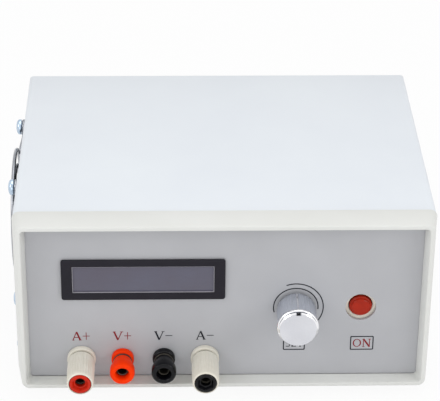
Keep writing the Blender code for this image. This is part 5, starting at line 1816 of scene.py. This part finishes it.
@dataclass
class Studio:
    """The pale floor, the soft lights and the camera at the photograph's place."""

    focal_px: float = 1973.3
    pitch: float = math.radians(29.56)
    yaw: float = math.radians(1.8)
    roll: float = math.radians(0.61)
    sensor: float = 36.0
    camera_from_rim: tuple[float, float, float] = (-26.5 * MM, -754.4 * MM, 527.8 * MM)
    surround: float = 0.6
    clip_start: float = 0.05
    floor_white: float = 0.92
    floor_size: float = 8.0
    floor_drop: float = 0.0002

    def build(self) -> None:
        """Sets up everything round the object."""
        self.add_camera()
        self.add_floor()
        self.add_lights()
        bpy.context.scene.view_settings.view_transform = "Standard"

    def add_camera(self) -> None:
        """Places the camera as the photograph's, from the front rim's middle and the bezel's lower edge."""
        low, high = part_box("front_bezel")
        rim = Vector(((low.x + high.x) / 2, low.y, low.z))
        cos_pitch, sin_pitch = math.cos(self.pitch), math.sin(self.pitch)
        forward = Vector((math.sin(self.yaw) * cos_pitch, math.cos(self.yaw) * cos_pitch, -sin_pitch))
        level = Vector((math.cos(self.yaw), -math.sin(self.yaw), 0.0))
        above = level.cross(forward)
        right = level * math.cos(self.roll) + above * math.sin(self.roll)
        up = above * math.cos(self.roll) - level * math.sin(self.roll)
        camera = bpy.data.cameras.new("photo_camera")
        camera.sensor_fit = "HORIZONTAL"
        camera.sensor_width = self.sensor
        camera.lens = self.focal_px / PHOTO_WIDTH * self.sensor
        camera.clip_start = self.clip_start
        obj = bpy.data.objects.new("photo_camera", camera)
        bpy.context.scene.collection.objects.link(obj)
        turned = Matrix((right, up, -forward)).transposed().to_4x4()
        obj.matrix_world = Matrix.Translation(rim + Vector(self.camera_from_rim)) @ turned
        bpy.context.scene.camera = obj

    def add_floor(self) -> None:
        """Lays a wide pale floor, which looks white to the camera and to reflections."""
        deselect_all()
        bpy.ops.mesh.primitive_plane_add(size=self.floor_size, location=(0.0, 0.0, -self.floor_drop))
        floor = bpy.context.active_object
        floor.name = "pale_floor"
        material = bpy.data.materials.new("matt_white_paper")
        material.use_nodes = True
        tree = material.node_tree
        shader = tree.nodes["Principled BSDF"]
        shader.inputs["Base Color"].default_value = linear("#F4F4F4")
        shader.inputs["Roughness"].default_value = 0.9
        white = add_node(tree, "ShaderNodeEmission", {"Color": (1.0, 1.0, 1.0, 1.0), "Strength": 1.0})
        share = add_node(
            tree, "ShaderNodeMath", {"operation": "MULTIPLY"}, {0: self.seen_rays(tree)}
        )
        share.inputs[1].default_value = self.floor_white
        mixed = add_node(
            tree, "ShaderNodeMixShader", None,
            {0: share.outputs[0], 1: shader.outputs["BSDF"], 2: white.outputs["Emission"]},
        )
        tree.links.new(mixed.outputs[0], tree.nodes["Material Output"].inputs["Surface"])
        floor.data.materials.append(material)

    def seen_rays(self, tree: bpy.types.NodeTree) -> bpy.types.NodeSocket:
        """Tells the camera's rays, and those seen in metal or through glass, from the light's own.

        Args:
            tree: The tree of the floor's material or of the world.

        Returns:
            One for a ray that shows the background, else zero.
        """
        rays = add_node(tree, "ShaderNodeLightPath").outputs
        mirrored = add_node(
            tree, "ShaderNodeMath", {"operation": "MAXIMUM"},
            {0: rays["Is Camera Ray"], 1: rays["Is Glossy Ray"]},
        ).outputs[0]
        return add_node(
            tree, "ShaderNodeMath", {"operation": "MAXIMUM"}, {0: mirrored, 1: rays["Is Transmission Ray"]}
        ).outputs[0]

    def add_lights(self) -> None:
        """Adds an even white surround and four soft boxes."""
        world = bpy.data.worlds.new("studio_surround")
        bpy.context.scene.world = world
        world.use_nodes = True
        tree = world.node_tree
        background = tree.nodes["Background"]
        background.inputs["Color"].default_value = linear("#FFFFFF")
        background.inputs["Strength"].default_value = self.surround
        white = add_node(tree, "ShaderNodeBackground", {"Color": (1.0, 1.0, 1.0, 1.0), "Strength": 1.0})
        mixed = add_node(
            tree, "ShaderNodeMixShader", None,
            {0: self.seen_rays(tree), 1: background.outputs[0], 2: white.outputs[0]},
        )
        tree.links.new(mixed.outputs[0], tree.nodes["World Output"].inputs["Surface"])
        for box in SoftBox:
            box.hang()


def main() -> None:
    """Loads the frame, builds every sub-assembly in order and sets up the studio."""
    logging.basicConfig(level=logging.INFO, format="%(message)s")
    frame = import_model()
    catalogue = Catalogue()
    Studio().build()
    PackedNodes(catalogue, frame["nodes"]).build()
    Enclosure(catalogue).build()
    PanScrews(catalogue).build()
    Display(catalogue).build()
    Knob(catalogue).build()
    PushButton(catalogue).build()
    BindingPosts(catalogue).build()
    FanGuard(catalogue).build()
    PanelPrint(catalogue).build()


if __name__ == "__main__":
    main()
